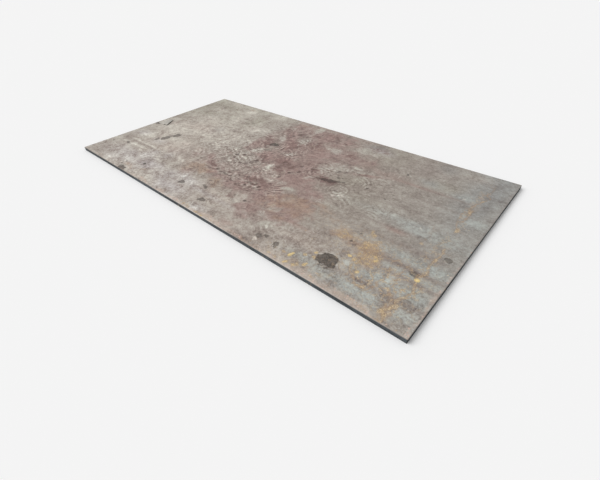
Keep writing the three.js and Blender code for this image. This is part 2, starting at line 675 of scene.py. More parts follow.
# %% Film: washes
FILM_WASHES = [
    # u, v, half length, half width, strength, colour, turn
    # The first wash, over the far left end, is dust and a painted sheen together.
    (-1000, -50, 460, 950, 100, DUST_AND_SHEEN), (-400, -660, 750, 100, 90, DUST_AND_SHEEN),
    (-1460, 550, 100, 280, 80, MOSS), (-1230, 600, 130, 40, 70, MOSS, -8),
    (-1280, 390, 100, 60, 70, MOSS), (-720, 500, 60, 90, 70, MOSS),
    (-1000, 700, 500, 80, 60, OLIVE), (-1000, 420, 400, 120, 40, OLIVE),
    (-930, 630, 50, 40, 60, PALE), (-590, 670, 70, 50, 40, PALE),
    (-580, 370, 90, 40, 60, PALE, 15), (-620, 350, 50, 60, 60, PALE),
    (-1380, 200, 80, 60, 30, UMBER), (-870, 170, 70, 50, 30, SLATE),
    (-1140, 310, 90, 50, 40, PALE), (-1050, 100, 160, 60, 40, ROSE, 10),
    (-1200, -50, 140, 60, 40, PALE), (-700, -120, 80, 40, 40, UMBER),
    (-560, -80, 80, 50, 40, UMBER), (-1300, -280, 60, 40, 50, PALE),
    (-1400, -380, 60, 50, 60, UMBER), (-830, -190, 50, 30, 50, ROSE),
    (-660, -200, 60, 30, 60, ROSE), (-800, -300, 200, 60, 50, ROSE),
    (-1350, -700, 120, 50, 40, UMBER), (-1100, -540, 140, 40, 40, MAUVE),
    (-770, -400, 50, 50, 50, MAUVE), (-820, -550, 50, 50, 50, MAUVE),
    (-930, -480, 50, 40, 60, WHITE), (-700, -560, 100, 40, 60, LILAC),
    (-480, -560, 60, 40, 60, MAUVE), (-300, -670, 150, 50, 60, LILAC),
    (-480, -360, 100, 90, 50, CREAM), (-1160, -700, 90, 20, 25, WHITE),
    (150, 150, 480, 750, 80, BROWN), (0, -520, 240, 50, 60, CREAM),
    (140, -450, 50, 50, 70, CREAM), (620, 620, 120, 120, 50, MOSS),
    (500, 660, 80, 40, 50, SLATE), (600, 130, 120, 60, 50, MOSS, 35),
    (760, -20, 140, 100, 30, MOSS), (620, -200, 80, 25, 60, OLIVE),
    (620, -360, 80, 70, 50, OLIVE), (520, -690, 70, 50, 50, UMBER),
    (850, -680, 800, 100, 70, TAN), (1050, -450, 350, 100, 50, TAN),
    (700, -690, 80, 40, 50, CREAM), (750, -550, 160, 50, 50, CREAM),
    (1450, 200, 250, 700, 80, COOL), (1370, 400, 100, 300, 70, SLATE),
    (970, 580, 110, 90, 60, BAND_BROWN), (950, 340, 120, 70, 30, UMBER),
    (550, 410, 60, 50, 50, BAND_RED), (720, 360, 140, 30, 40, BAND_RED),
    (1060, 680, 60, 50, 40, SLATE), (1430, 660, 90, 70, 70, SLATE),
    (1430, 530, 50, 50, 50, SLATE), (1120, 430, 90, 50, 50, OLIVE),
    (1270, 360, 50, 30, 60, BLUE), (1440, 160, 60, 40, 60, BLUE),
    (1380, -550, 40, 140, 40, OLIVE), (-430, 540, 50, 40, 50, UMBER),
    (-1190, 390, 60, 40, 50, UMBER), (-1190, 150, 70, 70, 40, UMBER),
    (-1380, 450, 30, 60, 40, UMBER), (-1380, -270, 70, 40, 40, MAUVE),
    (-1000, -130, 50, 40, 40, UMBER), (-1080, -310, 60, 40, 40, MAUVE),
    (-740, -230, 40, 30, 60, UMBER), (-670, -310, 60, 30, 60, UMBER),
    (-790, -400, 40, 40, 40, UMBER), (640, 50, 50, 30, 50, UMBER),
    (1180, -60, 60, 40, 70, SLATE), (570, -650, 40, 30, 70, UMBER),
    (440, -720, 50, 20, 70, UMBER), (-130, -570, 40, 30, 40, UMBER),
    (1230, 370, 50, 40, 40, SLATE), (1040, 420, 60, 30, 50, SLATE),
    # At (1400, 735) a slate strip darkens the far edge near the right corner: painted shade of the
    # arris.
    (-530, 420, 40, 40, 40, UMBER), (1400, 735, 100, 15, 80, SLATE),
    (-590, -40, 40, 40, 90, PALE), (-590, 130, 50, 80, 70, PALE),
    (-450, 130, 40, 50, 50, PALE), (-870, 410, 50, 50, 50, PALE),
    (-1270, 480, 40, 30, 60, PALE), (-1150, 280, 60, 30, 50, PALE),
    (-430, -470, 60, 28, 60, BAND_RED, -15), (-500, -100, 28, 28, 50, UMBER),
    (-467, -285, 26, 28, 50, BAND_RED), (540, 608, 90, 30, 50, MAUVE),
    (480, 590, 40, 26, 40, UMBER), (1185, -68, 42, 26, 60, UMBER),
    (300, -685, 60, 24, 60, BAND_RED), (-1035, -22, 32, 24, 50, UMBER),
    (1335, 230, 18, 50, 50, BLUE), (1067, -683, 28, 20, 60, WHITE),
    (-930, -418, 50, 24, 50, WHITE), (-738, -616, 50, 18, 50, WHITE),
    (-1200, 700, 100, 30, 50, PALE), (-330, -520, 100, 30, 70, WHITE),
    (-400, -640, 150, 40, 60, LILAC), (-770, -580, 60, 40, 50, LILAC),
    (30, -700, 50, 30, 60, WHITE), (1430, -550, 60, 40, 60, BLUE),
    (1450, -350, 40, 100, 50, BLUE), (1270, 650, 80, 40, 40, TAN),
    (-1020, -620, 250, 70, 50, LILAC),
]
print(f"{len(FILM_WASHES)} washes")

# %% [markdown]
# The bands are narrow and run along the plate, as the rolls and the wind left them. They are pushed
# about less than the washes, so they stay straight.

# %% Film: bands
FILM_BANDS = [
    (1140, 336, 150, 8, 100, BAND_BROWN), (950, 335, 160, 12, 50, BAND_RED, 2),
    (650, 262, 90, 10, 80, BAND_RED, 22), (1150, 205, 220, 10, 50, BAND_BROWN),
    (1080, 155, 140, 22, 40, BAND_BROWN), (1000, 60, 200, 12, 40, BAND_BROWN),
    (1000, -155, 170, 9, 60, BAND_BROWN, 1), (1110, -165, 50, 18, 70, BAND_RED),
    (550, -225, 100, 8, 60, BAND_RED), (580, -458, 140, 16, 70, BAND_RED),
    (950, -395, 100, 16, 40, BAND_BROWN), (1240, -250, 220, 22, 60, BAND_BROWN),
    (1320, -385, 220, 13, 80, BAND_BROWN), (1380, -458, 160, 12, 80, BAND_BROWN),
    (1150, -597, 240, 9, 70, BAND_BROWN), (1120, -685, 140, 18, 40, BAND_BROWN),
    (1150, -385, 300, 8, 50, BAND_BROWN), (1420, -590, 80, 14, 60, BAND_BROWN),
    (750, -590, 180, 14, 40, BAND_BROWN), (1200, -60, 300, 30, 50, BLUE),
    (1300, -110, 200, 20, 60, BLUE), (1290, -318, 200, 22, 80, BLUE),
    (1420, -330, 60, 24, 80, BLUE), (1320, -425, 180, 14, 60, BLUE),
    (1200, -530, 140, 34, 90, BLUE), (1430, -535, 60, 30, 70, BLUE),
    (1100, -660, 260, 36, 80, BLUE), (1360, -660, 140, 30, 60, BLUE),
    (860, -640, 80, 24, 50, BLUE), (-100, -575, 300, 16, 40, LILAC),
    (-1160, -414, 260, 12, 40, UMBER), (-1425, -738, 60, 16, 50, UMBER),
    (-1235, -738, 24, 16, 50, UMBER), (-250, -742, 110, 14, 40, WHITE),
    (495, -742, 85, 18, 90, BAND_BROWN),
]
print(f"{len(FILM_BANDS)} bands")

# %% [markdown]
# Each wash takes its share of what is already there, and leaves the rest.

# %% Film: mix the colours
straight_spots = pushed(reach=10, pitch=350, pattern=4.0)
film = np.tile(np.array(paint(*FILM_BASE)), (len(points), 1))
for spots, patches in ((soft_spots, FILM_WASHES), (straight_spots, FILM_BANDS)):
    for u, v, half_length, half_width, strength, colour, *turn in patches:
        out = shares_out(spots, u, v, half_length, half_width, *turn)
        share = (strength / 100 * np.exp2(-(out**2)))[:, None]
        film = film * (1 - share) + np.array(paint(*colour)) * share
film_layer = plate_mesh.attributes.new("film", "FLOAT_COLOR", "POINT")
film_layer.data.foreach_set("color", film.astype(np.float32).ravel())
print(f"film: mean light {film[:, :3].mean():.3f}, from {film.min():.3f} to {film[:, :3].max():.3f}")

# %% [markdown]
# ## Bloom, wear and ochre
#
# Where rain stood, the scale has bloomed to a dull red-brown. Boots have rubbed parts of it pale
# again, and run-off has left ochre, which is rust dust as fine as flour. These patches fade at their
# edges, and the material roughens them later.

# %% Bloom
BLOOM = [
    (150, 280, 240, 180, 90), (80, 620, 200, 110, 90), (-260, 640, 120, 90, 50),
    (-240, 480, 110, 110, 75), (-330, 220, 60, 120, 90, 10), (-90, 300, 120, 120, 85),
    (50, 80, 250, 80, 95), (270, 140, 100, 100, 70), (-350, 60, 50, 30, 70, -30),
    (-130, 20, 90, 50, 75), (130, -40, 100, 50, 80, -20), (-50, -140, 80, 30, 75),
    (-220, -120, 200, 130, 50), (60, -120, 140, 100, 60), (-120, -280, 200, 80, 55),
    (100, -250, 160, 50, 95), (370, -100, 160, 80, 85, -25), (500, -170, 90, 60, 70),
    (270, -400, 130, 100, 85, -50), (350, -520, 130, 50, 60), (520, -360, 140, 110, 80),
    (-380, -280, 180, 30, 75, -25), (-200, -370, 200, 30, 75, -12), (80, -340, 130, 60, 75),
    (400, 400, 130, 80, 75), (560, 430, 60, 50, 60), (650, 260, 90, 15, 50, 20),
    (760, 80, 50, 30, 30, -20), (-600, -240, 80, 50, 30),
]
soft_patches("bloom", BLOOM)

# %% [markdown]
# The deep bloom is the wine-red crust that forms where water stood longest.

# %% Deep bloom
DEEP_PATCHES = [
    (100, -250, 130, 30, 95), (-290, 220, 60, 35, 95, -45), (20, 70, 80, 30, 85, -10),
    (150, 60, 80, 30, 70, -20), (70, 400, 50, 80, 80), (50, 650, 120, 50, 55),
    (140, 560, 120, 30, 60), (-180, 510, 35, 35, 75), (-215, 430, 22, 50, 75),
    (-150, 350, 45, 30, 70, -30), (-60, 320, 60, 30, 70), (-10, 400, 20, 45, 70),
    (-350, 540, 40, 50, 70), (-130, 30, 60, 30, 70, -30), (120, -40, 70, 25, 85, -30),
    (-50, -140, 70, 20, 85), (220, 140, 30, 30, 70), (290, 90, 20, 50, 80, 20),
    (300, -400, 70, 40, 50, -60), (475, 48, 90, 30, 95, 10), (-380, -270, 110, 20, 50, -25),
    (-330, -270, 40, 30, 50), (380, 420, 70, 50, 60), (-70, 680, 60, 30, 40),
    (-108, 260, 35, 40, 80), (70, -40, 20, 35, 70), (70, -120, 35, 30, 70),
    (50, -315, 34, 34, 75), (50, -170, 30, 26, 70), (-355, 306, 42, 24, 70),
    (10, -170, 40, 20, 70), (90, -475, 50, 30, 70), (525, 633, 80, 50, 60),
    (375, 717, 50, 30, 50), (-50, 567, 50, 30, 50), (-417, -442, 60, 30, 50),
    (483, -8, 40, 30, 50), (333, 233, 70, 25, 50, 45), (-350, 58, 40, 30, 50),
    (-475, -92, 30, 30, 50), (408, -583, 50, 30, 40), (200, -600, 40, 30, 30),
]
soft_patches("deep", DEEP_PATCHES)

# %% [markdown]
# Worn ground is where boots took the bloom off again.

# %% Worn ground
WORN_GROUND = [
    (420, 560, 60, 50, 95), (530, 540, 60, 30, 50, -20), (-70, 430, 35, 65, 95, 10),
    (240, 440, 80, 35, 80), (-90, 680, 35, 50, 60), (-260, 360, 30, 80, 80, 35),
    (400, 200, 120, 85, 60, 10), (500, 280, 100, 50, 50), (340, 130, 40, 60, 50),
    (600, 20, 50, 50, 50), (630, -70, 60, 35, 80), (600, -200, 80, 30, 60),
    (340, -210, 50, 35, 60, 20), (390, -430, 35, 40, 65), (400, -520, 40, 25, 60),
    (500, -560, 60, 35, 80), (150, -440, 45, 60, 70), (0, -500, 120, 40, 50),
    (-230, 200, 40, 25, 60), (-260, 90, 45, 60, 70), (-30, 180, 50, 50, 60),
    (840, 420, 60, 50, 35), (680, 180, 90, 100, 30), (-450, 620, 50, 30, 50, 40),
    (-460, 50, 60, 80, 50, 30), (-220, -100, 150, 80, 35), (0, -50, 35, 60, 60, -20),
    (-310, 0, 100, 50, 40, -25), (120, -150, 60, 50, 35), (-180, -310, 100, 30, 30),
    (-117, 650, 50, 50, 70), (-75, 417, 40, 50, 50), (333, 0, 50, 30, 50),
    (267, -150, 50, 40, 50), (-383, -167, 50, 40, 50), (-175, -100, 40, 30, 40),
]
soft_patches("worn", WORN_GROUND)

# %% [markdown]
# Scraped ground is worse: there bare pale metal and dark remains lie side by side.

# %% Scraped ground
SCRAPED_GROUND = [
    (-240, -90, 170, 100, 95), (-200, -200, 150, 60, 80), (30, -100, 100, 80, 80),
    (140, -160, 70, 60, 70), (-150, -320, 140, 50, 75), (90, -330, 100, 40, 60),
    (-260, 100, 80, 70, 60), (200, -20, 60, 50, 50), (-100, 450, 100, 70, 40),
    (-280, 360, 60, 80, 50), (0, 180, 60, 60, 50), (-420, 0, 60, 100, 50),
    (300, 30, 60, 60, 40),
]
soft_patches("scraped", SCRAPED_GROUND)

# %% [markdown]
# Trampled ground is where the prints of boots lie over each other. The patches only say where; the
# prints themselves are drawn in the material, which is finer than the mesh.

# %% Trampled ground
TRAMPLED_GROUND = [
    (-220, -150, 200, 160, 95), (50, -150, 120, 120, 70), (80, -340, 200, 60, 75),
    (260, -270, 80, 70, 60, 30), (-80, 200, 150, 130, 75), (300, 50, 60, 70, 50),
    (-80, 450, 100, 100, 55), (-250, 500, 200, 200, 50), (150, 550, 300, 150, 40),
    (450, 180, 120, 100, 55), (650, 40, 120, 140, 50), (750, 300, 160, 160, 30),
    (-420, 200, 120, 300, 45), (-600, -100, 200, 250, 45), (-1000, 100, 300, 200, 20),
    (-900, -450, 250, 150, 25), (950, 0, 200, 200, 30), (700, -550, 200, 100, 30),
]
soft_patches("trampled", TRAMPLED_GROUND)

# %% [markdown]
# Ochre is rust dust that water has spread thin.

# %% Ochre
OCHRE_PATCHES = [
    (-410, -350, 100, 30, 85), (-130, -430, 70, 25, 60), (500, -280, 100, 50, 85),
    (440, -330, 80, 50, 60), (560, -360, 70, 60, 60), (510, -480, 40, 15, 60),
    (70, 380, 70, 12, 45), (-250, 680, 90, 20, 35), (-900, -675, 60, 18, 95),
    (-730, -650, 30, 12, 50), (-950, 680, 60, 20, 40), (900, -375, 70, 45, 80),
    (1060, -370, 80, 70, 80), (1120, -480, 60, 50, 50), (780, -300, 80, 30, 35),
    (850, -680, 120, 40, 35), (1350, -660, 40, 60, 60), (1270, -40, 25, 60, 30),
    (1370, 460, 20, 60, 40), (-483, -400, 50, 40, 80), (-333, -400, 60, 30, 60),
    (-108, -458, 40, 30, 70), (358, -400, 80, 80, 50), (683, -250, 60, 30, 50),
]
soft_patches("ochre", OCHRE_PATCHES)

# %% [markdown]
# Mud is painted too, though it will not be seen as paint: crumbs of it are scattered there later.

# %% Mud
MUD = [
    (960, -575, 45, 42, 100), (975, -635, 30, 6, 80), (667, -655, 14, 22, 90),
    (577, -632, 12, 10, 80), (-235, 240, 30, 16, 90), (-885, -732, 40, 14, 90),
    (-20, -630, 26, 10, 80, 10), (-325, -577, 20, 12, 80, 15),
]
soft_patches("mud", MUD)

# %% [markdown]
# Where plates are dragged over each other, the rim wears first. Worn rims are soft patches that hug
# the sides.

# %% Worn rims
WORN_RIMS = [
    (-40, -742, 400, 10, 100), (1000, -742, 380, 10, 100), (1200, -738, 280, 14, 70),
    (840, -725, 260, 20, 50), (220, -725, 150, 20, 50), (-600, -742, 500, 8, 60),
    (1488, -500, 12, 300, 80), (0, -735, 300, 14, 70),
]
soft_patches("edge_wear", WORN_RIMS)

# %% [markdown]
# The arris itself carries a bright line a few millimetres wide: partly rubbed metal, partly a painted
# highlight along its round. A push of noise would move such a line off the edge, so it is measured
# from points that are not pushed.

# %% Rubbed arris and painted highlight
NEAR_EDGE = -1000 * WIDTH / 2
ARRIS_WEAR_AND_HIGHLIGHT_WIDTH = 4.5
RUBBED_AND_HIGHLIGHT_STRETCHES = [
    # u, half length, strength
    (160, 215, 100),
    (-150, 250, 60),
    (990, 390, 55),
]
# Painted highlight and wear together: a bright line along stretches of the near arris.
arris_wear = np.zeros(len(points))
for u, half_length, strength in RUBBED_AND_HIGHLIGHT_STRETCHES:
    out = shares_out(points, u, NEAR_EDGE, half_length, ARRIS_WEAR_AND_HIGHLIGHT_WIDTH)
    arris_wear = np.maximum(arris_wear, strength / 100 * np.exp2(-(out**4)))
keep("arris_wear", arris_wear)
print(f"arris_wear: {np.count_nonzero(arris_wear > 0.5)} points of the near edge are rubbed")

# %% [markdown]
# ## Stains
#
# The stains are dark and have an edge: spots of tar and oil, mud that dried in a scalloped blot, and
# bruises where something heavy was dropped.

# %% Stains
STAINS = [
    # u, v, half length, half width, how dark, turn
    (962, -562, 45, 38, 95), (938, -590, 40, 28, 90), (986, -592, 36, 30, 90),
    (924, -602, 24, 14, 85), (1004, -598, 18, 20, 85), (945, -631, 9, 5, 80),
    (966, -633, 6, 5, 70), (985, -637, 7, 5, 80), (1002, -628, 8, 6, 70),
    (667, -655, 26, 13, 75, -63), (577, -632, 17, 12, 75, -20), (537, -657, 20, 18, 60),
    (550, -675, 10, 6, 50, 30), (976, -296, 10, 9, 90, 30), (968, -383, 6, 10, 80, -15),
    (988, -368, 5, 5, 70), (1002, -394, 8, 7, 90), (991, -404, 6, 5, 80),
    (1432, -214, 20, 19, 68), (1344, -402, 26, 20, 72), (217, -472, 14, 8, 95),
    (-135, -520, 32, 12, 75, -25), (-155, -510, 14, 8, 60, 20), (-325, -577, 23, 15, 80, 15),
    (-340, -590, 12, 9, 70), (-20, -630, 30, 14, 75, 10), (20, -607, 12, 6, 60, 30),
    (-50, -645, 16, 8, 60, -30), (-798, -594, 18, 13, 100, -10), (-885, -732, 48, 20, 85, -8),
    (-920, -715, 18, 10, 60), (-945, -660, 24, 7, 60, -12), (-1285, -470, 24, 13, 80, -5),
    (-1058, -135, 28, 34, 85, -25), (-1088, -178, 20, 24, 60, 10), (-1095, -228, 30, 40, 85, -5),
    (-1142, -282, 20, 28, 65), (-1067, -302, 12, 9, 60, 20), (862, 438, 10, 14, 80),
    (897, 78, 12, 9, 60, 10), (740, 117, 9, 9, 60), (415, 34, 30, 8, 80, 8),
    (450, 44, 32, 17, 100, 12), (490, 53, 30, 20, 100, 12), (522, 63, 16, 12, 90, 20),
    (550, 74, 12, 10, 85, 20), (573, 90, 10, 10, 80, 20), (508, 114, 10, 10, 60),
    (465, 187, 22, 9, 60, 40), (505, 208, 18, 6, 45, 30), (-240, 234, 30, 26, 100),
    (-208, 240, 23, 21, 100, -30), (-272, 198, 10, 9, 45), (-195, 140, 28, 8, 60, 5),
    (-152, 240, 6, 24, 60, 10), (-190, 500, 12, 12, 60), (-210, 455, 12, 14, 60),
    (-1466, -70, 26, 18, 95, 10), (-1430, -530, 45, 6, 45, -25), (-965, -690, 30, 6, 50, -35),
]
crisp_patches("stain", STAINS)

# %% [markdown]
# Boots leave flecks too: small dark remains on scraped ground, most of them drawn out by the same
# turn of a heel.

# %% Flecks
FLECKS = [
    (-290, -32, 21, 14, 100, 40), (-340, -62, 17, 14, 95, 40), (-320, -106, 15, 14, 100, 40),
    (-378, -110, 12, 12, 70, 40), (-250, -90, 12, 8, 50, -20), (-210, -141, 19, 13, 75, 40),
    (-134, -46, 19, 14, 100, 30), (-275, -180, 14, 8, 50), (-142, -235, 22, 13, 75, 30),
    (-160, -262, 14, 10, 60, 30), (-272, -304, 19, 13, 80, -10), (-220, -323, 17, 11, 75, -5),
    (-183, -318, 14, 11, 75), (-157, -322, 13, 11, 80), (-118, -314, 14, 11, 80),
    (-73, -352, 13, 13, 80), (-70, -382, 13, 11, 75), (1, -375, 14, 12, 70),
    (45, -362, 13, 11, 55, 20), (50, -338, 12, 9, 50, 20), (51, -300, 13, 11, 60, 20),
    (88, -299, 12, 10, 55, 20), (156, -299, 13, 13, 80), (182, -324, 14, 12, 70),
    (-240, 12, 29, 10, 45), (189, -33, 19, 13, 95), (239, 17, 16, 13, 80, 30),
    (202, 93, 13, 13, 70), (172, -118, 14, 13, 65, 20), (59, 66, 22, 13, 60, 30),
    (190, -221, 14, 12, 65), (285, 105, 12, 13, 60, 10), (0, -248, 14, 13, 75),
    (-217, 126, 24, 11, 60, 10), (104, -335, 10, 9, 40), (98, -370, 9, 8, 55),
    (130, -375, 9, 9, 60), (-175, -445, 14, 8, 60, -15), (-265, -455, 12, 7, 50, -10),
    (-235, -467, 12, 6, 45, -35), (48, -440, 10, 10, 45), (-300, -365, 12, 5, 45, -15),
    (-375, 30, 12, 7, 45, -25), (-300, 115, 8, 13, 50), (-440, 130, 16, 7, 40, -30),
    (590, -30, 14, 6, 50, 30), (560, 30, 14, 6, 40, 30), (770, -440, 14, 6, 40, -40),
    (655, -510, 10, 10, 30), (-835, 480, 18, 12, 40), (-710, 450, 16, 16, 40),
    (-715, 222, 18, 10, 45, -20), (-552, 160, 20, 12, 35), (-1220, 155, 18, 9, 35),
    (-610, 550, 16, 12, 40), (-1265, 445, 22, 10, 35), (-1260, 565, 20, 10, 30),
    (-780, 50, 20, 8, 35, -30),
]
crisp_patches("fleck", FLECKS)

# %% [markdown]
# Bright marks are the opposite: small places rubbed down to clean metal, or dabs of dried lime.

# %% Bright marks
BRIGHT_MARKS = [
    (-200, -112, 16, 7, 60, -30), (0, -30, 18, 30, 45, -20), (-10, -75, 11, 20, 40, 10),
    (-120, -86, 22, 14, 30), (136, -116, 26, 10, 25), (140, -192, 26, 10, 25),
    (93, 130, 6, 18, 60, 30), (-262, 130, 10, 12, 50), (-420, -10, 24, 8, 35, -20),
    (-275, -68, 24, 8, 45, -20), (-345, 200, 8, 22, 35, 30), (540, -692, 12, 12, 90),
    (610, -85, 15, 13, 60), (660, -55, 26, 14, 35, 30), (1275, 366, 10, 9, 50),
    (1207, -57, 4, 24, 60, 25), (1290, -106, 15, 4, 50, -20), (980, -695, 9, 8, 60),
    (-1130, -700, 40, 10, 30), (-1335, -285, 24, 10, 35), (-1310, 20, 40, 10, 40, -20),
    (-850, 80, 36, 8, 35, 10), (-790, 30, 8, 26, 35, 30), (-820, -190, 20, 10, 40, -20),
    (-560, 350, 30, 10, 40, 20), (-930, 450, 30, 12, 35, -40), (185, 440, 16, 8, 35, 20),
]
crisp_patches("bright", BRIGHT_MARKS)

# %% [markdown]
# ## Rust
#
# Damp has started rust at the right. It begins as a haze.

# %% Haze of rust
RUST_PATCHES = [
    (900, -370, 50, 35, 60), (1060, -350, 55, 45, 75), (1140, -440, 35, 50, 65),
    (1075, -480, 25, 55, 60), (1030, -260, 20, 25, 50), (1120, -560, 18, 18, 60),
    (1374, -425, 14, 20, 90), (1360, 300, 26, 130, 45), (1350, -690, 30, 35, 60),
    (800, -700, 80, 30, 30), (-60, -712, 30, 8, 70), (500, -735, 40, 6, 60),
    (1250, -740, 60, 8, 50), (-450, -735, 200, 6, 50), (150, -742, 250, 5, 55),
    (1493, -550, 6, 120, 50), (883, -333, 50, 30, 60), (1083, -417, 50, 60, 70),
]
soft_patches("rust", RUST_PATCHES)

# %% [markdown]
# Scabs stand in the haze: thick young rust, from tan to gold, each one placed. A scab's strength says
# how thick it is, and the thickest turn to gold.

# %% Scabs of rust
SCABS = [
    (1376, -430, 12, 14, 100), (1155, -435, 12, 10, 80, 20), (1140, -412, 12, 8, 65, -20),
    (1115, -430, 6, 16, 50), (1130, -475, 12, 8, 60), (1155, -490, 9, 8, 50),
    (1100, -455, 6, 20, 45), (1030, -485, 12, 11, 80), (1060, -455, 8, 18, 55, -10),
    (1065, -490, 10, 12, 60), (1082, -510, 12, 10, 50), (1072, -540, 6, 12, 40),
    (1125, -560, 13, 14, 70), (1020, -252, 6, 18, 60, 10), (1040, -268, 6, 22, 60, 15),
    (1100, -292, 12, 7, 45, 20), (1045, -345, 18, 12, 50), (1075, -340, 9, 22, 50, -10),
    (1095, -325, 6, 20, 50), (1060, -377, 16, 10, 45), (1100, -365, 9, 9, 40),
    (1040, -405, 14, 6, 45), (905, -365, 14, 9, 35, -20), (935, -355, 14, 8, 40),
    (885, -382, 16, 9, 35, -30), (910, -393, 10, 6, 35), (882, -575, 11, 10, 75),
    (897, -608, 12, 8, 60, -40), (848, -621, 13, 9, 65), (787, -660, 11, 22, 95),
    (742, -670, 11, 9, 50), (893, -677, 10, 12, 70, 20), (862, -701, 9, 10, 55),
    (845, -715, 11, 9, 65), (803, -722, 14, 12, 75), (730, -728, 10, 8, 45),
    (685, -726, 13, 8, 50), (983, -693, 9, 8, 40), (972, -722, 10, 7, 45),
    (1200, -625, 15, 10, 45), (1190, -465, 9, 7, 40), (1365, -650, 7, 20, 50),
    (1340, -690, 14, 16, 45), (1362, -706, 11, 12, 50), (1382, -622, 7, 10, 45),
    (1380, -250, 6, 16, 50), (1393, -360, 5, 16, 50, 10), (1376, -396, 5, 14, 55),
    (1381, 413, 11, 13, 55), (1358, 250, 9, 18, 45), (1371, 40, 11, 24, 50),
    (1270, -170, 6, 10, 35), (56, -743, 20, 7, 60), (114, -743, 16, 7, 80),
    (-49, -722, 10, 8, 40), (-30, -738, 12, 6, 45),
]
crisp_patches("scab", SCABS)

# %% [markdown]
# Between the scabs the scale is crazed: it has cracked into plates like dry mud.

# %% Crazed ground
CRAZED_GROUND = [
    (1180, -530, 160, 120, 80), (1330, -550, 90, 170, 90), (1370, -280, 30, 200, 60),
    (1360, 300, 20, 300, 50), (1000, -360, 180, 100, 50), (850, -680, 250, 60, 30),
]
soft_patches("crazed", CRAZED_GROUND)

# %% [markdown]
# Rust also creeps along scratches. Each vein has a strength and a path of points, and the attribute
# keeps how near the skin is to the closest one. Noise in the material breaks the line into beads, the
# more so the weaker it is.

# %% Veins of rust
VEIN_SPAN = 13
VEINS = [
    (90, (1070, -530), (1085, -565), (1110, -585), (1130, -600), (1160, -630), (1190, -635)),
    (80, (1190, -635), (1225, -625), (1235, -600), (1250, -575), (1230, -560), (1250, -520)),
    (70, (1250, -520), (1240, -500), (1240, -440), (1220, -400), (1240, -360)),
    (70, (1300, -420), (1290, -470), (1310, -520), (1300, -560), (1330, -600), (1340, -660)),
    (64, (1374, 648), (1388, 574), (1381, 527), (1366, 492), (1401, 468), (1381, 413)),
    (74, (1381, 413), (1363, 372), (1348, 331), (1348, 265), (1366, 243)),
    (70, (1366, 243), (1363, 186), (1360, 136), (1339, 126), (1348, 81), (1371, 42)),
    (55, (1330, 290), (1328, 200), (1339, 126)),
    (40, (1250, 30), (1262, -30), (1280, -90), (1268, -130), (1265, -180)),
    (90, (1380, -140), (1388, -200), (1380, -250), (1375, -310), (1393, -360), (1376, -400)),
    (100, (1376, -430), (1382, -470), (1400, -520), (1380, -560), (1365, -600), (1385, -630)),
    (100, (1385, -630), (1365, -650), (1340, -690), (1370, -720), (1360, -750)),
    (60, (970, -300), (1020, -330), (1080, -420)),
]


def distance_to_path(spots, path):
    nearest = np.full(len(spots), np.inf)
    for start, end in zip(np.array(path), np.array(path[1:])):
        way = end - start
        share = np.clip((spots - start) @ way / (way @ way), 0, 1)
        nearest = np.minimum(nearest, np.linalg.norm(spots - start - share[:, None] * way, axis=1))
    return nearest


wandering = pushed(reach=8, pitch=30, pattern=11.0)
vein_values = np.zeros(len(points))
for strength, *path in VEINS:
    nearness = 1 - distance_to_path(wandering, path) / VEIN_SPAN
    vein_values = np.maximum(vein_values, strength / 100 * nearness)
keep("vein", vein_values)
print(f"veins: {len(VEINS)} paths")

# %% [markdown]
# The clearest scratches are straight. The list below says for each where it starts, where it ends, half
# its width, and how much lighter (or, below zero, darker) it makes the skin. The attribute is a half
# where there are none.

# %% Single scratches
SCRATCHES = [
    (-1340, -391, -980, -392, 8, 28), (-1370, -462, -1189, -456, 8, 28),
    (-1189, -456, -1038, -449, 7, 25), (-1330, -420, -1020, -418, 10, -4),
    (-820, -498, -731, -497, 8, 35), (-802, -376, -714, -392, 7, 25),
    (-625, -406, -683, -356, 8, 40), (-585, -402, -616, -373, 8, 30),
    (-674, -197, -605, -216, 12, 20), (-844, -219, -837, -168, 10, 10),
    (-305, -174, -300, -138, 10, 35), (-98, -214, -94, -170, 10, 30),
    (47, -190, 42, -137, 13, 25), (-9, -94, 12, -6, 20, 22),
    (-305, 33, -241, 136, 10, 25), (-124, 194, -144, 265, 8, 30),
    (-95, 198, -110, 279, 8, 30), (-110, 194, -127, 270, 6, -25),
    (-51, 126, -27, 163, 8, 25), (-27, 163, 19, 164, 8, 25),
    (-18, 217, 40, 219, 8, 25), (-395, -183, -390, -126, 9, 20),
    (-4, -337, 21, -297, 9, 25), (113, -206, 173, -192, 14, 15),
    (120, -146, 178, -124, 14, 15), (246, -265, 312, -214, 8, 25),
    (262, -280, 318, -236, 7, -22), (282, -283, 329, -250, 8, 22),
    (266, -318, 335, -270, 7, -22), (256, -349, 334, -290, 9, 20),
    (243, 357, 339, 325, 9, -10), (339, 325, 483, 328, 10, -12),
    (488, 313, 576, 310, 9, 12), (599, 237, 665, 260, 7, -15),
    (665, 260, 724, 310, 7, 12), (487, -37, 494, -85, 8, -20),
    (584, -41, 627, -4, 8, -20), (180, -610, 187, -412, 26, 10),
    (323, -273, 410, -360, 6, -15), (-1, -527, 73, -555, 11, 12),
    (57, -512, 123, -545, 11, 10),
]

slightly_bent = pushed(reach=4, pitch=50, pattern=3.0)
scratch_values = np.full(len(points), 0.5)
for start_x, start_y, end_x, end_y, half_width, change in SCRATCHES:
    distance = distance_to_path(slightly_bent, [(start_x, start_y), (end_x, end_y)])
    scratch_values += change / 100 * np.clip(1 - distance / (2 * half_width), 0, 1)
keep("scratch", scratch_values)
print(f"single scratches: {len(SCRATCHES)}")

# %% [markdown]
# ## Node groups
#
# Every finish on the plate is grown from the same few effects, so each effect is a group: built once,
# placed where it is needed, with its own values. The first is mottle, the unevenness of scale. It adds
# up noises of several sizes. Brushed is the share of them that is drawn out along the plate.

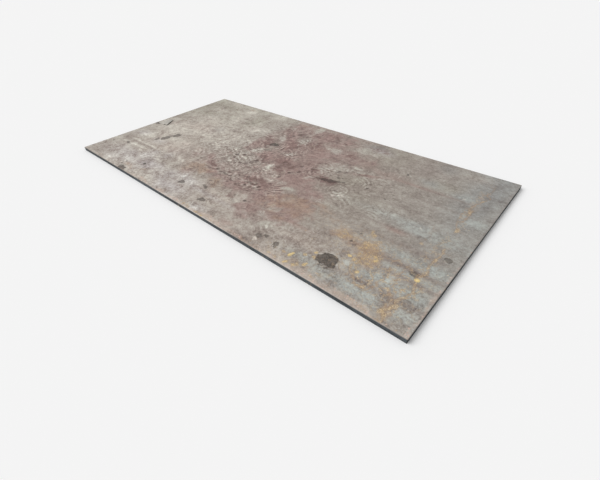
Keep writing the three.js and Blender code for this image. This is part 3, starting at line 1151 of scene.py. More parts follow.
# %% Mottle
ROLLED_SQUEEZE = 0.14
mottle, wires, given, result = new_group(
    "mottle",
    [("Place", "vector"), *numbers("Amount", "Brushed")],
    numbers("Light", "Warmth", "Height"),
)
rolled = wires.vector("MULTIPLY", given["Place"], (ROLLED_SQUEEZE, 1.0, 1.0))
brushed_amount = wires.times(given["Amount"], given["Brushed"])
layers = [
    # place, noises to the metre, detail, roughness, distortion, amount
    (given["Place"], 9.0, 6.0, 0.85, 0.4, given["Amount"]),
    (given["Place"], 26.0, 4.0, 0.85, 1.5, wires.times(given["Amount"], 0.7)),
    (given["Place"], 90.0, 3.0, 0.80, 0.5, wires.times(given["Amount"], 0.5)),
    (rolled, 18.0, 3.0, 0.65, 0.2, wires.times(brushed_amount, 0.8)),
    (rolled, 70.0, 3.0, 0.80, 0.0, wires.times(brushed_amount, 0.5)),
]
total = 1.0
for place, scale, detail, roughness, distortion, amount in layers:
    speckle = wires.minus(wires.noise(place, scale, detail, roughness, distortion), 0.5)
    total = wires.plus(total, wires.times(speckle, amount))
wires.feed(result["Light"], total)
wires.feed(result["Warmth"], wires.step(wires.noise(given["Place"], 9.0, 3.0, 0.55), 0.3, 0.7))
wires.feed(result["Height"], wires.noise(given["Place"], 260.0, 5.0, 0.7))
print(f"mottle: {len(layers)} noises in one")

# %% [markdown]
# Where scale is darker it is also browner, and where dust makes it lighter it is greyer. So a change of
# light is never the same for the three colours: red follows it least. Shade turns one number into
# the three.

# %% Shade
RED_SHARE = 0.85
BLUE_SHARE = 1.03
shade, wires, given, result = new_group("shade", numbers("Light"), [("Colour", "colour")])
three = wires.node("ShaderNodeCombineColor")
wires.feed(three.inputs["Red"], wires.math("POWER", given["Light"], RED_SHARE))
wires.feed(three.inputs["Green"], given["Light"])
wires.feed(three.inputs["Blue"], wires.math("POWER", given["Light"], BLUE_SHARE))
wires.feed(result["Colour"], three.outputs["Color"])
print(f"shade: half the light leaves {0.5**RED_SHARE:.0%} of the red")

# %% [markdown]
# The next group roughens the edge of a painted patch. It adds noise to the patch and cuts the sum at
# one half. Grain is the size of the bites in metres, Reach is how deep they go, Fine is how much fine
# fringe they carry, and Soft is how gently the edge fades.

# %% Ragged edges
ragged, wires, given, result = new_group(
    "ragged",
    [("Place", "vector"), *numbers("Patch", "Grain", "Reach", "Fine", "Soft")],
    numbers("Mask"),
)
scale = wires.to_the_metre(given["Grain"])
bites = wires.minus(wires.noise(given["Place"], scale, 5.0, given["Fine"], 0.6), 0.5)
reach = wires.times(given["Reach"], wires.step(given["Patch"], 0.02, 0.35))
bitten = wires.plus(given["Patch"], wires.times(bites, reach))
low = wires.minus(0.5, given["Soft"])
high = wires.plus(0.5, given["Soft"])
wires.feed(result["Mask"], wires.step(bitten, low, high))


def torn(wires, place, patch, grain, reach, fine, soft):
    """A painted patch with ragged edges."""
    edge = {"Grain": grain, "Reach": reach, "Fine": fine, "Soft": soft}
    return use_group(wires, ragged, Patch=patch, Place=place, **edge)["Mask"]


print(f"ragged: {len(ragged.nodes)} nodes")

# %% [markdown]
# Specks are grit, pits and spatter. A Voronoi texture scatters one point in each cell, and a random
# number for the cell says whether its speck is there at all. A second says how big it is, and the
# third is passed on, to pick a colour.


# %% Specks
def random_cells(wires, place, scale):
    """Voronoi cells, so many to the metre each way, and three random numbers for each."""
    cells = wires.node("ShaderNodeTexVoronoi", {"Vector": place, "Scale": scale}).outputs
    return cells, wires.parts(cells["Color"])


specks, wires, given, result = new_group(
    "specks",
    [("Place", "vector"), *numbers("Spacing", "Share", "Size")],
    numbers("Mask", "Chance"),
)
cell_scale = wires.to_the_metre(given["Spacing"])
half_spacing = wires.times(given["Spacing"], 0.5)
shaken = wires.shaken(given["Place"], wires.times(cell_scale, 2.5), 3.0, half_spacing)
cells, chances = random_cells(wires, shaken, cell_scale)
there = wires.math("LESS_THAN", chances["X"], given["Share"])
size = wires.times(given["Size"], wires.between(chances["Y"], 0.4, 1.0))
spot = wires.step(cells["Distance"], size, wires.times(size, 0.5))
wires.feed(result["Mask"], wires.times(spot, there))
wires.feed(result["Chance"], chances["Z"])
print(f"specks: {len(specks.nodes)} nodes")

# %% [markdown]
# A boot print is a row of bars under an oval sole. Bars that bend are circles about a far point, so
# the distance is measured from a centre that is pushed back along the print. The group gives 1 on a
# bar, -1 between the bars and 0 outside the print.


# %% Boot print
def bent_bars(wires, local, bend, pitch):
    """A wave from -1 to 1 that runs along X, in circles about a centre that lies back by the bend."""
    back_x = wires.plus(local["X"], bend)
    away = wires.math("SQRT", wires.plus(wires.squared(back_x), wires.squared(local["Y"])))
    turns = wires.math("DIVIDE", away, pitch)
    return wires.math("SINE", wires.times(turns, 2 * math.pi))


boot_print, wires, given, result = new_group(
    "boot_print",
    [
        ("Place", "vector"),
        ("Centre", "vector"),
        *numbers("Turn", "Length", "Width", "Pitch", "Radius"),
    ],
    numbers("Bars"),
)
from_centre = wires.vector("SUBTRACT", given["Place"], given["Centre"])
back_turn = wires.math("RADIANS", wires.times(given["Turn"], -1.0))
local = wires.parts(wires.turned(from_centre, back_turn))
bars = bent_bars(wires, local, given["Radius"], given["Pitch"])
out_x = wires.squared(wires.math("DIVIDE", local["X"], given["Length"]))
out_y = wires.squared(wires.math("DIVIDE", local["Y"], given["Width"]))
sole = wires.step(wires.plus(out_x, out_y), 1.0, 0.6)
wires.feed(result["Bars"], wires.times(wires.step(bars, -0.4, 0.4, -1.0, 1.0), sole))
print(f"boot_print: {len(boot_print.nodes)} nodes")

# %% [markdown]
# Trampled ground is that print over and over. A Voronoi texture cuts the ground into patches, and
# each patch gets bent bars of its own direction, or none. Lines are the same bars worn down to
# scratches.

# %% Trampling
trampling, wires, given, result = new_group(
    "trampling",
    [("Place", "vector"), *numbers("Patch", "Pitch", "Share")],
    numbers("Bars", "Lines"),
)
cells, chances = random_cells(wires, given["Place"], wires.to_the_metre(given["Patch"]))
from_centre = wires.vector("SUBTRACT", given["Place"], cells["Position"])
local = wires.parts(wires.turned(from_centre, wires.times(chances["X"], 2 * math.pi)))
bend = wires.times(given["Patch"], wires.between(chances["Z"], 0.5, 3.0))
bars = bent_bars(wires, local, bend, given["Pitch"])
inside = wires.step(cells["Distance"], 0.75, 0.45)
there = wires.math("LESS_THAN", chances["Y"], given["Share"])
printed = wires.times(inside, there)
wires.feed(result["Bars"], wires.times(wires.step(bars, -0.5, 0.5, -1.0, 1.0), printed))
wires.feed(result["Lines"], wires.times(wires.step(bars, 0.80, 0.98), printed))
print(f"trampling: {len(trampling.nodes)} nodes")

# %% [markdown]
# Scuffs are what is left when many soles have slipped. Again there are patches with a direction each,
# but now a stretched noise makes strokes in them, pale ones and dark ones side by side. Most soles
# slipped much the same way, so the directions keep within about a quarter turn.

# %% Scuffs
STROKE_SQUEEZE = 0.20
scuffs, wires, given, result = new_group(
    "scuffs",
    [("Place", "vector"), *numbers("Patch", "Stroke")],
    numbers("Light"),
)
cells, chances = random_cells(wires, given["Place"], wires.to_the_metre(given["Patch"]))
turned = wires.turned(given["Place"], wires.between(chances["X"], -0.1, -1.7))
drawn = wires.vector("MULTIPLY", turned, (STROKE_SQUEEZE, 1.0, 1.0))
drawn = wires.vector("ADD", drawn, cells["Color"])
hairs = wires.noise(drawn, wires.to_the_metre(given["Stroke"]), 2.0, 0.6)
pale = wires.step(hairs, 0.52, 0.64)
dark = wires.step(hairs, 0.48, 0.36)
inside = wires.step(cells["Distance"], 0.80, 0.50)
wires.feed(result["Light"], wires.times(wires.minus(pale, dark), inside))
print(f"scuffs: {len(scuffs.nodes)} nodes")

# %% [markdown]
# Rust also spreads as a web of hair cracks in the scale. The edges between Voronoi cells are such a
# web once the place is bent by noise, and a second noise breaks the lines up.

# %% Crazing
crazing, wires, given, result = new_group(
    "crazing",
    [("Place", "vector"), *numbers("Cell", "Width")],
    numbers("Lines"),
)
web_scale = wires.to_the_metre(given["Cell"])
reach = wires.times(given["Cell"], 1.2)
bent = wires.shaken(given["Place"], wires.times(web_scale, 1.5), 4.0, reach)
web_inputs = {"Vector": bent, "Scale": web_scale}
web = wires.node("ShaderNodeTexVoronoi", web_inputs, feature="DISTANCE_TO_EDGE").outputs
relative = wires.math("DIVIDE", given["Width"], given["Cell"])
line = wires.step(web["Distance"], relative, wires.times(relative, 0.3))
broken = wires.step(wires.noise(given["Place"], wires.times(web_scale, 2.2), 3.0), 0.42, 0.58)
wires.feed(result["Lines"], wires.times(line, broken))
print(f"crazing: {len(crazing.nodes)} nodes")

# %% [markdown]
# The last is rust. Young rust is bright at its thickest and brown where it is thin, and it stands in
# grains.

# %% Rust
RUST_DARK = paint(104, 86, 72)
RUST_THIN = paint(150, 128, 106)
RUST_MIDDLE = paint(184, 156, 122)
RUST_BRIGHT = paint(230, 210, 172)
ELSEWHERE = (0.3, 0.7, 0.0)

rust, wires, given, result = new_group(
    "rust", [("Place", "vector")], [("Colour", "colour"), *numbers("Grains")]
)
clouds = wires.step(wires.noise(given["Place"], 60.0, 5.0, 0.8), 0.35, 0.65)
grains = wires.step(wires.noise(given["Place"], 170.0, 3.0, 0.7), 0.45, 0.60)
elsewhere = wires.vector("ADD", given["Place"], ELSEWHERE)
pits = wires.step(wires.noise(elsewhere, 130.0, 3.0, 0.7), 0.54, 0.66)
brown = wires.mix(clouds, RUST_THIN, RUST_MIDDLE)
bright = wires.coat(brown, grains, 0.75, RUST_BRIGHT)
wires.feed(result["Colour"], wires.coat(bright, pits, 0.75, RUST_DARK))
wires.feed(result["Grains"], grains)
print("groups:", ", ".join(group.name for group in bpy.data.node_groups if group.type == "SHADER"))

# %% [markdown]
# ## The top face
#
# The material follows the order in which things happened to the real plate: scale and dust, then
# bloom, then wear and prints, then stains, and rust last. Each step lays a colour over the one before
# through its own mask. First comes the unevenness of the scale, which is greatest at the left, along
# the near side and on trampled ground.

# %% Top face: a start
UNREST_LEFT = 2.3
UNREST_DROP = 0.5  # how much less it is at the right
UNREST_NEAR = 0.6  # how much more it is along the near side

top_finish, wires, surface = new_material("weathered_scale")
place = wires.own_place()
spot = wires.parts(place)
trodden = wires.attribute("trampled")
rightward = wires.step(spot["X"], -0.6, 0.9)
unrest = wires.minus(UNREST_LEFT, wires.times(rightward, UNREST_DROP))
unrest = wires.plus(unrest, trodden)
unrest = wires.plus(unrest, wires.step(spot["Y"], -0.30, -0.65, 0.0, UNREST_NEAR))
brushed = wires.between(rightward, 0.2, 0.3)
top_mottle = use_group(wires, mottle, Place=place, Amount=unrest, Brushed=brushed)
colour = wires.attribute("film", "Color")
print(f"weathered_scale begins with {len(top_finish.node_tree.nodes)} nodes")

# %% [markdown]
# Bloom lies on the scale like a thin wash of red-brown, in two depths. Its colour wavers with the
# mottle, so it looks grown and not sprayed.

# %% Top face: bloom
BLOOM_PALE = paint(152, 130, 123)
BLOOM_STRONG = paint(138, 114, 107)
DEEP_BLOOM = paint(112, 86, 80)

blooming = torn(wires, place, wires.attribute("bloom"), grain=0.10, reach=2.4, fine=0.55, soft=0.42)
bloom_colour = wires.mix(top_mottle["Warmth"], BLOOM_PALE, BLOOM_STRONG)
thin = wires.step(wires.noise(place, 8.0, 3.0, 0.5, 0.8), 0.36, 0.60, 0.72, 1.0)
colour = wires.coat(colour, blooming, thin, bloom_colour)
deepened = torn(wires, place, wires.attribute("deep"), grain=0.045, reach=2.2, fine=0.6, soft=0.30)
colour = wires.coat(colour, deepened, 0.80, DEEP_BLOOM)
print("bloom: two depths of red-brown")

# %% [markdown]
# Wear goes over the bloom and takes it off again, down to pale and greenish scale.

# %% Top face: wear
WORN_PALE = paint(182, 174, 164)
WORN_GREEN = paint(164, 159, 147)

worn_colour = wires.mix(top_mottle["Warmth"], WORN_PALE, WORN_GREEN)
wearing = torn(wires, place, wires.attribute("worn"), grain=0.040, reach=2.4, fine=0.75, soft=0.30)
colour = wires.coat(colour, wearing, 0.70, worn_colour)
print("wear: one mask, two tones")

# %% [markdown]
# On scraped ground two masks of the same patch, moved apart, give dark bruises and pale scrapes that
# fit between each other.

# %% Top face: scraped ground
BESIDE = (0.53, 0.31, 0.0)

scraped = wires.attribute("scraped")
beside = wires.vector("ADD", place, BESIDE)
bruise = torn(wires, beside, scraped, grain=0.026, reach=4.5, fine=0.65, soft=0.16)
bruise = wires.minus(scraped, bruise, clamp=True)
colour = wires.coat(colour, bruise, 0.55, DEEP_BLOOM)
scrape = torn(wires, place, scraped, grain=0.022, reach=4.0, fine=0.65, soft=0.14)
scrape = wires.times(scrape, wires.step(scraped, 0.1, 0.6))
colour = wires.coat(colour, scrape, 0.35, worn_colour)
print("scraped ground: bruises and scrapes")

# %% [markdown]
# Ochre is laid on thinly, with the softest edge of all. Bright marks are clean metal or lime, with a
# hard edge.

# %% Top face: ochre and bright marks
OCHRE = paint(162, 133, 110)
WORN_BRIGHT = paint(212, 203, 192)

ochre = torn(wires, place, wires.attribute("ochre"), grain=0.05, reach=2.4, fine=0.65, soft=0.45)
colour = wires.coat(colour, ochre, 0.50, OCHRE)
bright_here = wires.attribute("bright")
rubbed_bright = torn(wires, place, bright_here, grain=0.012, reach=0.9, fine=0.7, soft=0.25)
rubbed_bright = wires.times(rubbed_bright, wires.attribute("bright_strength"))
colour = wires.mix(rubbed_bright, colour, WORN_BRIGHT)
print("ochre and bright marks laid on")

# %% [markdown]
# Some prints are clear enough to count their bars. Each is one line, in millimetres, degrees and per
# cent: its middle, its turn, half its length, half its width, the pitch of the bars, the radius that
# they bend to, and its strength. A radius of nothing makes rings, as under a heel.

# %% The clearest prints
PRINTS = [
    # u, v, turn, half length, half width, pitch, radius, strength
    (345, 97, 0, 125, 125, 26, 0, 50),
    (275, -270, -62, 90, 45, 25, 600, 90),
    (-15, 185, 90, 60, 45, 24, 150, 100),
    (-140, 250, 5, 45, 60, 24, 600, 90),
    (95, -335, 90, 50, 90, 34, 600, 50),
    (95, -335, 0, 90, 45, 36, 600, 40),
    (602, -18, 0, 90, 90, 27, 0, 45),
    (690, 172, 40, 50, 85, 26, 60, 60),
    (420, 150, 150, 70, 60, 26, 300, 50),
    (-260, 80, -10, 40, 60, 26, 300, 75),
    (-400, -60, 60, 90, 60, 30, 300, 75),
    (-250, -120, 65, 110, 80, 38, 300, 85),
    (700, -110, 60, 80, 70, 34, 200, 40),
    (930, -90, 80, 60, 50, 26, 100, 40),
    (530, -590, 240, 60, 60, 30, 100, 40),
    (-50, 440, 30, 60, 60, 24, 100, 40),
    (-620, -200, 40, 70, 60, 34, 120, 40),
]
print(f"{len(PRINTS)} clear prints")

# %% [markdown]
# Prints make the skin lighter on the bars and darker between them. The trampled ground comes first,
# in two sizes of step, and the clear prints are added to it. All of them are smudged a little, because
# no sole is set down without slipping.

# %% Top face: prints
SMUDGE = (0.02, 0.02, 0.0)
MOVE = (0.37, 0.21, 0.0)
PRINT_DEPTH = 0.42

smudged = wires.shaken(place, 30.0, 3.0, SMUDGE)
small_steps = use_group(wires, trampling, Place=smudged, Patch=0.10, Pitch=0.032, Share=0.5)
moved = wires.vector("ADD", smudged, MOVE)
large_steps = use_group(wires, trampling, Place=moved, Patch=0.15, Pitch=0.042, Share=0.4)
prints = wires.plus(small_steps["Bars"], large_steps["Bars"])
prints = wires.times(prints, wires.times(trodden, 0.8))
for u, v, turn, *sizes, strength in PRINTS:
    centre = (u / 1000, v / 1000, TOP)
    sole = dict(zip(("Length", "Width", "Pitch", "Radius"), [size / 1000 for size in sizes]))
    single = use_group(wires, boot_print, Place=smudged, Centre=centre, Turn=turn, **sole)["Bars"]
    prints = wires.plus(prints, wires.times(single, strength / 100))
patchy = wires.step(wires.noise(place, 28.0, 4.0, 0.7), 0.40, 0.60, 0.1, 1.3)
prints = wires.times(prints, patchy)
light = wires.plus(1.0, wires.times(prints, PRINT_DEPTH))
light = wires.times(light, top_mottle["Light"])
print(f"prints: the material now has {len(top_finish.node_tree.nodes)} nodes")

# %% [markdown]
# Scuffs change the light too. They are strongest on scraped ground, weaker where it is trampled, and
# fade towards the right, where fewer boots went.

# %% Top face: scuffs
small_scuffs = use_group(wires, scuffs, Place=smudged, Patch=0.08, Stroke=0.015)["Light"]
large_scuffs = use_group(wires, scuffs, Place=moved, Patch=0.15, Stroke=0.022)["Light"]
scuffed = wires.plus(small_scuffs, wires.times(large_scuffs, 0.6))
scuff_share = wires.times(scraped, 0.34)
scuff_share = wires.plus(scuff_share, wires.times(trodden, 0.13))
scuff_share = wires.plus(scuff_share, wires.step(rightward, 0.0, 0.7, 0.04, 0.01))
scuffed = wires.times(scuffed, scuff_share)
light = wires.times(light, wires.plus(1.0, scuffed))
print("scuffs: two sizes of stroke")

# %% [markdown]
# Fine streaks run the way the plate is dragged, which is along it: they are noise stretched until each
# speck is a line. The single scratches are read from the mesh. After that the light is complete, and
# shade turns it into colour.

# %% Top face: streaks and scratches
SCRATCH_DEPTH = 1.5
STREAKS = (5.0, 80.0, 0.0)  # noises to the metre, along the plate and across it

drawn_out = wires.vector("MULTIPLY", smudged, STREAKS)
streak = wires.minus(wires.noise(drawn_out, 1.0, 4.0, 0.6), 0.5)
streaked = wires.plus(1.0, wires.times(streak, wires.times(brushed, 0.25)))
light = wires.times(light, streaked)
single_scratches = wires.minus(wires.attribute("scratch"), 0.5)
light = wires.plus(light, wires.times(single_scratches, SCRATCH_DEPTH))
colour = wires.tinted(colour, use_group(wires, shade, Light=light)["Colour"])
print("light and shade are laid on the film")

# %% [markdown]
# Boots also scratch in arcs. Pale arcs are fresh, and dark ones have filled with dirt.

# %% Top face: arcs
SPECK_PALE = paint(208, 201, 190)
SPECK_DARK = paint(88, 76, 69)

arcs = use_group(wires, trampling, Place=smudged, Patch=0.16, Pitch=0.060, Share=0.6)["Lines"]
arcs = wires.times(arcs, patchy)
arc_share = wires.step(trodden, 0.0, 0.8, 0.10, 0.30)
colour = wires.mix(wires.times(arcs, arc_share, clamp=True), colour, SPECK_PALE)
dark_arcs = use_group(wires, trampling, Place=moved, Patch=0.11, Pitch=0.045, Share=0.5)["Lines"]
dark_arcs = wires.times(dark_arcs, patchy)
arc_share = wires.step(trodden, 0.0, 0.8, 0.06, 0.30)
colour = wires.mix(wires.times(dark_arcs, arc_share, clamp=True), colour, SPECK_DARK)
print("arcs: pale and dark")

# %% [markdown]
# Specks are pale grit and dark pits, everywhere. Where the ground is trampled they are joined by larger
# chips of scale and bits of dirt from the soles.

# %% Top face: specks
pale = use_group(wires, specks, Place=place, Spacing=0.013, Share=0.16, Size=0.30)["Mask"]
colour = wires.coat(colour, pale, 0.40, SPECK_PALE)
dark = use_group(wires, specks, Place=place, Spacing=0.021, Share=0.16, Size=0.26)["Mask"]
colour = wires.coat(colour, dark, 0.40, SPECK_DARK)
crowd = wires.step(trodden, 0.2, 1.0, 0.0, 0.50)
flattened = wires.vector("MULTIPLY", smudged, (1.0, 1.4, 1.0))
pale = use_group(wires, specks, Place=flattened, Spacing=0.044, Share=crowd, Size=0.28)["Mask"]
colour = wires.coat(colour, pale, 0.46, SPECK_PALE)
dark = use_group(wires, specks, Place=flattened, Spacing=0.038, Share=crowd, Size=0.30)["Mask"]
colour = wires.coat(colour, dark, 0.66, SPECK_DARK)
print("specks: small ones everywhere, larger ones on trampled ground")

# %% [markdown]
# Flecks and stains share one colour of tar, which is redder where it lies on deep bloom. A stain is
# thinner in its middle, where it dried last.

# %% Top face: flecks and stains
STAIN_BROWN = paint(84, 71, 61)
STAIN_DARK = paint(42, 36, 30)
STAIN_RED = paint(62, 38, 32)

flecked = torn(wires, place, wires.attribute("fleck"), grain=0.010, reach=0.9, fine=0.7, soft=0.20)
flecked = wires.times(flecked, wires.attribute("fleck_strength"))
colour = wires.coat(colour, flecked, 0.85, STAIN_RED)
staining = torn(wires, place, wires.attribute("stain"), grain=0.014, reach=1.5, fine=0.85, soft=0.16)
tarry = wires.step(wires.noise(place, 90.0, 4.0, 0.8), 0.42, 0.62)
stain_colour = wires.mix(tarry, STAIN_DARK, STAIN_BROWN)
stain_colour = wires.coat(stain_colour, deepened, 0.7, STAIN_RED)
thin_middle = wires.step(wires.attribute("stain"), 0.7, 1.0, 1.0, 0.85)
stain_share = wires.times(staining, wires.attribute("stain_strength"))
stain_share = wires.times(stain_share, thin_middle)
colour = wires.mix(stain_share, colour, stain_colour)
print(f"stains: {len(FLECKS)} flecks and {len(STAINS)} stains laid on")

# %% [markdown]
# Along the near arris the plates were dragged over each other, which chipped the edge to bright pink
# and white flecks. The bright line on the arris itself, rubbed metal with a painted highlight, is
# broken up by noise.

# %% Top face: chipped edge
CHIP_PINK = paint(198, 158, 140)
CHIP_AND_HIGHLIGHT_WHITE = paint(216, 206, 198)
RIM_PALE = paint(208, 188, 174)

chipped = wires.attribute("edge_wear")
chips = use_group(
    wires, specks, Place=smudged, Spacing=0.012, Share=wires.times(chipped, 0.8), Size=0.55
)
chip_colour = wires.mix(chips["Chance"], CHIP_PINK, CHIP_AND_HIGHLIGHT_WHITE)
colour = wires.coat(colour, chips["Mask"], 0.8, chip_colour)
rubbed = torn(wires, place, chipped, grain=0.02, reach=2.5, fine=0.75, soft=0.3)
colour = wires.coat(colour, rubbed, 0.34, RIM_PALE)
whole = wires.step(wires.noise(place, 60.0, 3.0, 0.7), 0.35, 0.50)
# Painted highlight, partly rubbed metal: the bright line on the near arris.
colour = wires.coat(colour, wires.attribute("arris_wear"), whole, CHIP_AND_HIGHLIGHT_WHITE)
print("chipped edge: flecks, a pale rim and a rubbed line")

# %% [markdown]
# Rust comes last. First there is the haze, then the veins, which have a dark rim of damp and turn from
# brown to bright as they thicken, and then the hair lines of the crazed ground.

# %% Top face: rust haze, veins and hair lines
RUST_HAZE = paint(170, 144, 114)
RUST_BROWN = paint(156, 128, 104)
DAMP = paint(104, 92, 84)

rusted = use_group(wires, rust, Place=place)
rust_here = wires.attribute("rust")
haze = torn(wires, place, rust_here, grain=0.025, reach=2.6, fine=0.7, soft=0.4)
colour = wires.coat(colour, haze, 0.38, RUST_HAZE)
vein_here = wires.attribute("vein")
vein = torn(wires, place, vein_here, grain=0.018, reach=2.2, fine=0.8, soft=0.20)
around = wires.minus(wires.step(vein_here, 0.05, 0.45), vein, clamp=True)
colour = wires.coat(colour, around, 0.20, DAMP)
vein_colour = wires.mix(wires.step(vein_here, 0.4, 0.8), RUST_BROWN, rusted["Colour"])
colour = wires.coat(colour, vein, 0.60, vein_colour)
hair = use_group(wires, crazing, Place=place, Cell=0.042, Width=0.0060)["Lines"]
hair = wires.times(hair, wires.attribute("crazed"))
colour = wires.coat(colour, hair, 0.80, rusted["Colour"])
print("rust: haze, veins and hair lines")

# %% [markdown]
# The scabs have a rim of damp too. The thickest ones go over to gold, and a painted highlight in cream
# lies on their middles.

# %% Top face: scabs
RUST_GOLD = paint(236, 208, 140)
CREAM_HIGHLIGHT = paint(246, 230, 178)

scab_here = wires.attribute("scab")
scab = torn(wires, place, scab_here, grain=0.010, reach=1.8, fine=0.85, soft=0.20)
scab_share = wires.step(wires.attribute("scab_strength"), 0.25, 0.75, 0.55, 0.95)
scab_share = wires.times(scab, scab_share)
damp = wires.minus(wires.step(scab_here, 0.05, 0.50), scab, clamp=True)
colour = wires.coat(colour, damp, 0.12, DAMP)
gold = wires.step(wires.attribute("scab_strength"), 0.5, 1.0)
scab_colour = wires.coat(rusted["Colour"], gold, 0.8, RUST_GOLD)
# Painted highlight: the middle of each gold scab turns cream.
painted_highlight = wires.times(gold, wires.step(scab_here, 0.75, 1.0))
scab_colour = wires.coat(scab_colour, painted_highlight, 0.7, CREAM_HIGHLIGHT)
colour = wires.mix(scab_share, colour, scab_colour)
print(f"scabs: {len(SCABS)} laid on")

# %% [markdown]
# Between them lie single grains of rust, in three tones. They are most crowded in the haze, and there
# are some along the veins and on the crazed ground.

# %% Top face: grains of rust
crowd = wires.times(rust_here, 0.45)
crowd = wires.math("MAXIMUM", crowd, wires.times(vein_here, 0.2))
crowd = wires.math("MAXIMUM", crowd, wires.times(wires.attribute("crazed"), 0.14))
grains = use_group(wires, specks, Place=place, Spacing=0.011, Share=crowd, Size=0.45)
grain_colour = wires.mix(wires.step(grains["Chance"], 0.3, 0.4), RUST_DARK, RUST_MIDDLE)
grain_colour = wires.mix(wires.step(grains["Chance"], 0.6, 0.7), grain_colour, RUST_BRIGHT)
rust_share = wires.times(grains["Mask"], 0.70)
colour = wires.mix(rust_share, colour, grain_colour)
rust_share = wires.math("MAXIMUM", rust_share, scab_share)
wires.feed(surface["Base Color"], colour)
print("grains of rust: the colour is complete")

# %% [markdown]
# Colour is half of a finish. The other half is how it shines and how it stands up: worn scale is
# smoother, rust and tar are rough and not metallic, and both stand a fraction of a millimetre high.

# %% Top face: shine and relief
SCALE_RELIEF = 0.00025
TAR_RELIEF = 0.0004
RUST_RELIEF = 0.0005

roughness = wires.between(wearing, 0.62, 0.50)
roughness = wires.plus(roughness, wires.times(rust_share, 0.25))
wires.feed(surface["Roughness"], roughness)
covered = wires.plus(rust_share, stain_share)
wires.feed(surface["Metallic"], wires.between(covered, 0.25, 0.0))

height = wires.times(top_mottle["Height"], SCALE_RELIEF)
height = wires.plus(height, wires.times(stain_share, TAR_RELIEF))
thick_rust = wires.times(rust_share, wires.plus(rusted["Grains"], 0.5))
height = wires.plus(height, wires.times(thick_rust, RUST_RELIEF))
wires.feed(surface["Normal"], wires.bump(height, 0.6))
print(f"weathered_scale: {len(top_finish.node_tree.nodes)} nodes")

# %% [markdown]
# ## The cut sides
#
# A torch leaves a dark blue-grey side. Fine drag lines run down it where the jet burned through, long
# scores run along it, and the melted upper arris is rubbed lighter; along parts of the near side it
# also carries a painted highlight. Rust starts in spots. The two ends carry painted shade, which makes
# them darker than the long sides.

# %% Cut sides
CUT_BLUE = paint(104, 110, 114)
CUT_DARK = paint(70, 73, 75)
CUT_ARRIS = paint(150, 141, 134)
SCORES = (2.5, 2.5, 160.0)  # noises to the metre each way
DRAGS = (450.0, 450.0, 25.0)
SCORE_RELIEF = 0.0006
DRAG_RELIEF = 0.0004
END_PAINTED_SHADE = 0.42
END_FULL = 0.0012  # from here outwards a side is fully an end
RUBBED_DOWN = 0.006
RUBBED_FULL = 0.001

cut_finish, wires, surface = new_material("torch_cut")
place = wires.own_place()
spot = wires.parts(place)
cut_mottle = use_group(wires, mottle, Place=place, Amount=1.4, Brushed=1.0)
scores = wires.noise(wires.vector("MULTIPLY", place, SCORES), 1.0, 4.0, 0.6)
drags = wires.noise(wires.vector("MULTIPLY", place, DRAGS), 1.0, 2.0, 0.5)
colour = wires.mix(wires.step(scores, 0.3, 0.7), CUT_DARK, CUT_BLUE)
colour = wires.tinted(colour, cut_mottle["Light"])
colour = wires.tinted(colour, wires.step(drags, 0.3, 0.7, 0.85, 1.1))
# The two ends carry painted shade, which darkens them.
outward = wires.math("ABSOLUTE", spot["X"])
painted_end_shade = wires.step(outward, LENGTH / 2 - CORNER, LENGTH / 2 - END_FULL, 1.0, END_PAINTED_SHADE)
colour = wires.tinted(colour, painted_end_shade)
near_top = wires.step(spot["Z"], TOP - RUBBED_DOWN, TOP - RUBBED_FULL)
rubbed = torn(wires, place, near_top, grain=0.01, reach=0.8, fine=0.75, soft=0.25)
# Along the near side the top of the cut turns near white: rubbed metal and a painted highlight.
arris_colour = wires.mix(wires.attribute("arris_wear"), CUT_ARRIS, CHIP_AND_HIGHLIGHT_WHITE)
colour = wires.coat(colour, rubbed, 0.8, arris_colour)
rusted = use_group(wires, rust, Place=place)
rusty = use_group(wires, specks, Place=place, Spacing=0.030, Share=0.25, Size=0.35)["Mask"]
colour = wires.coat(colour, rusty, 0.5, rusted["Colour"])
wires.feed(surface["Base Color"], colour)
surface["Roughness"].default_value = 0.8
surface["Specular IOR Level"].default_value = 0.2
height = wires.plus(wires.times(drags, DRAG_RELIEF), wires.times(scores, SCORE_RELIEF))
wires.feed(surface["Normal"], wires.bump(height, 0.7))
print(f"torch_cut: {len(cut_finish.node_tree.nodes)} nodes")

# %% [markdown]
# ## The underside
#
# The underside has seen less weather: plain mill scale, a few scratches, and rust where damp stood on
# the bearers.

# %% Underside
UNDER_SCALE = paint(112, 114, 116)
UNDER_DUSTY = paint(136, 131, 126)
UNDER_STREAKS = (5.0, 90.0, 0.0)
UNDER_RELIEF = 0.0003

under_finish, wires, surface = new_material("plain_scale")
place = wires.own_place()
under_mottle = use_group(wires, mottle, Place=place, Amount=1.4, Brushed=1.0)
colour = wires.mix(under_mottle["Warmth"], UNDER_SCALE, UNDER_DUSTY)
colour = wires.tinted(colour, under_mottle["Light"])
drawn_out = wires.vector("MULTIPLY", place, UNDER_STREAKS)
streak = wires.step(wires.noise(drawn_out, 1.0, 4.0, 0.6), 0.3, 0.7, 0.92, 1.08)
colour = wires.tinted(colour, streak)
damp_here = wires.step(wires.noise(place, 2.2, 2.0, 0.5), 0.5, 0.75)
rusty = torn(wires, place, damp_here, grain=0.04, reach=1.2, fine=0.75, soft=0.3)
rusted = use_group(wires, rust, Place=place)
colour = wires.coat(colour, rusty, 0.7, rusted["Colour"])
wires.feed(surface["Base Color"], colour)
surface["Roughness"].default_value = 0.62
surface["Metallic"].default_value = 0.2
height = wires.times(under_mottle["Height"], UNDER_RELIEF)
wires.feed(surface["Normal"], wires.bump(height, 0.6))
print(f"plain_scale: {len(under_finish.node_tree.nodes)} nodes")

# %% [markdown]
# The three finishes go to the three skins, in the order in which the skins were numbered. Where two
# faces meet at more than the sharp angle, the light breaks at the edge between them.

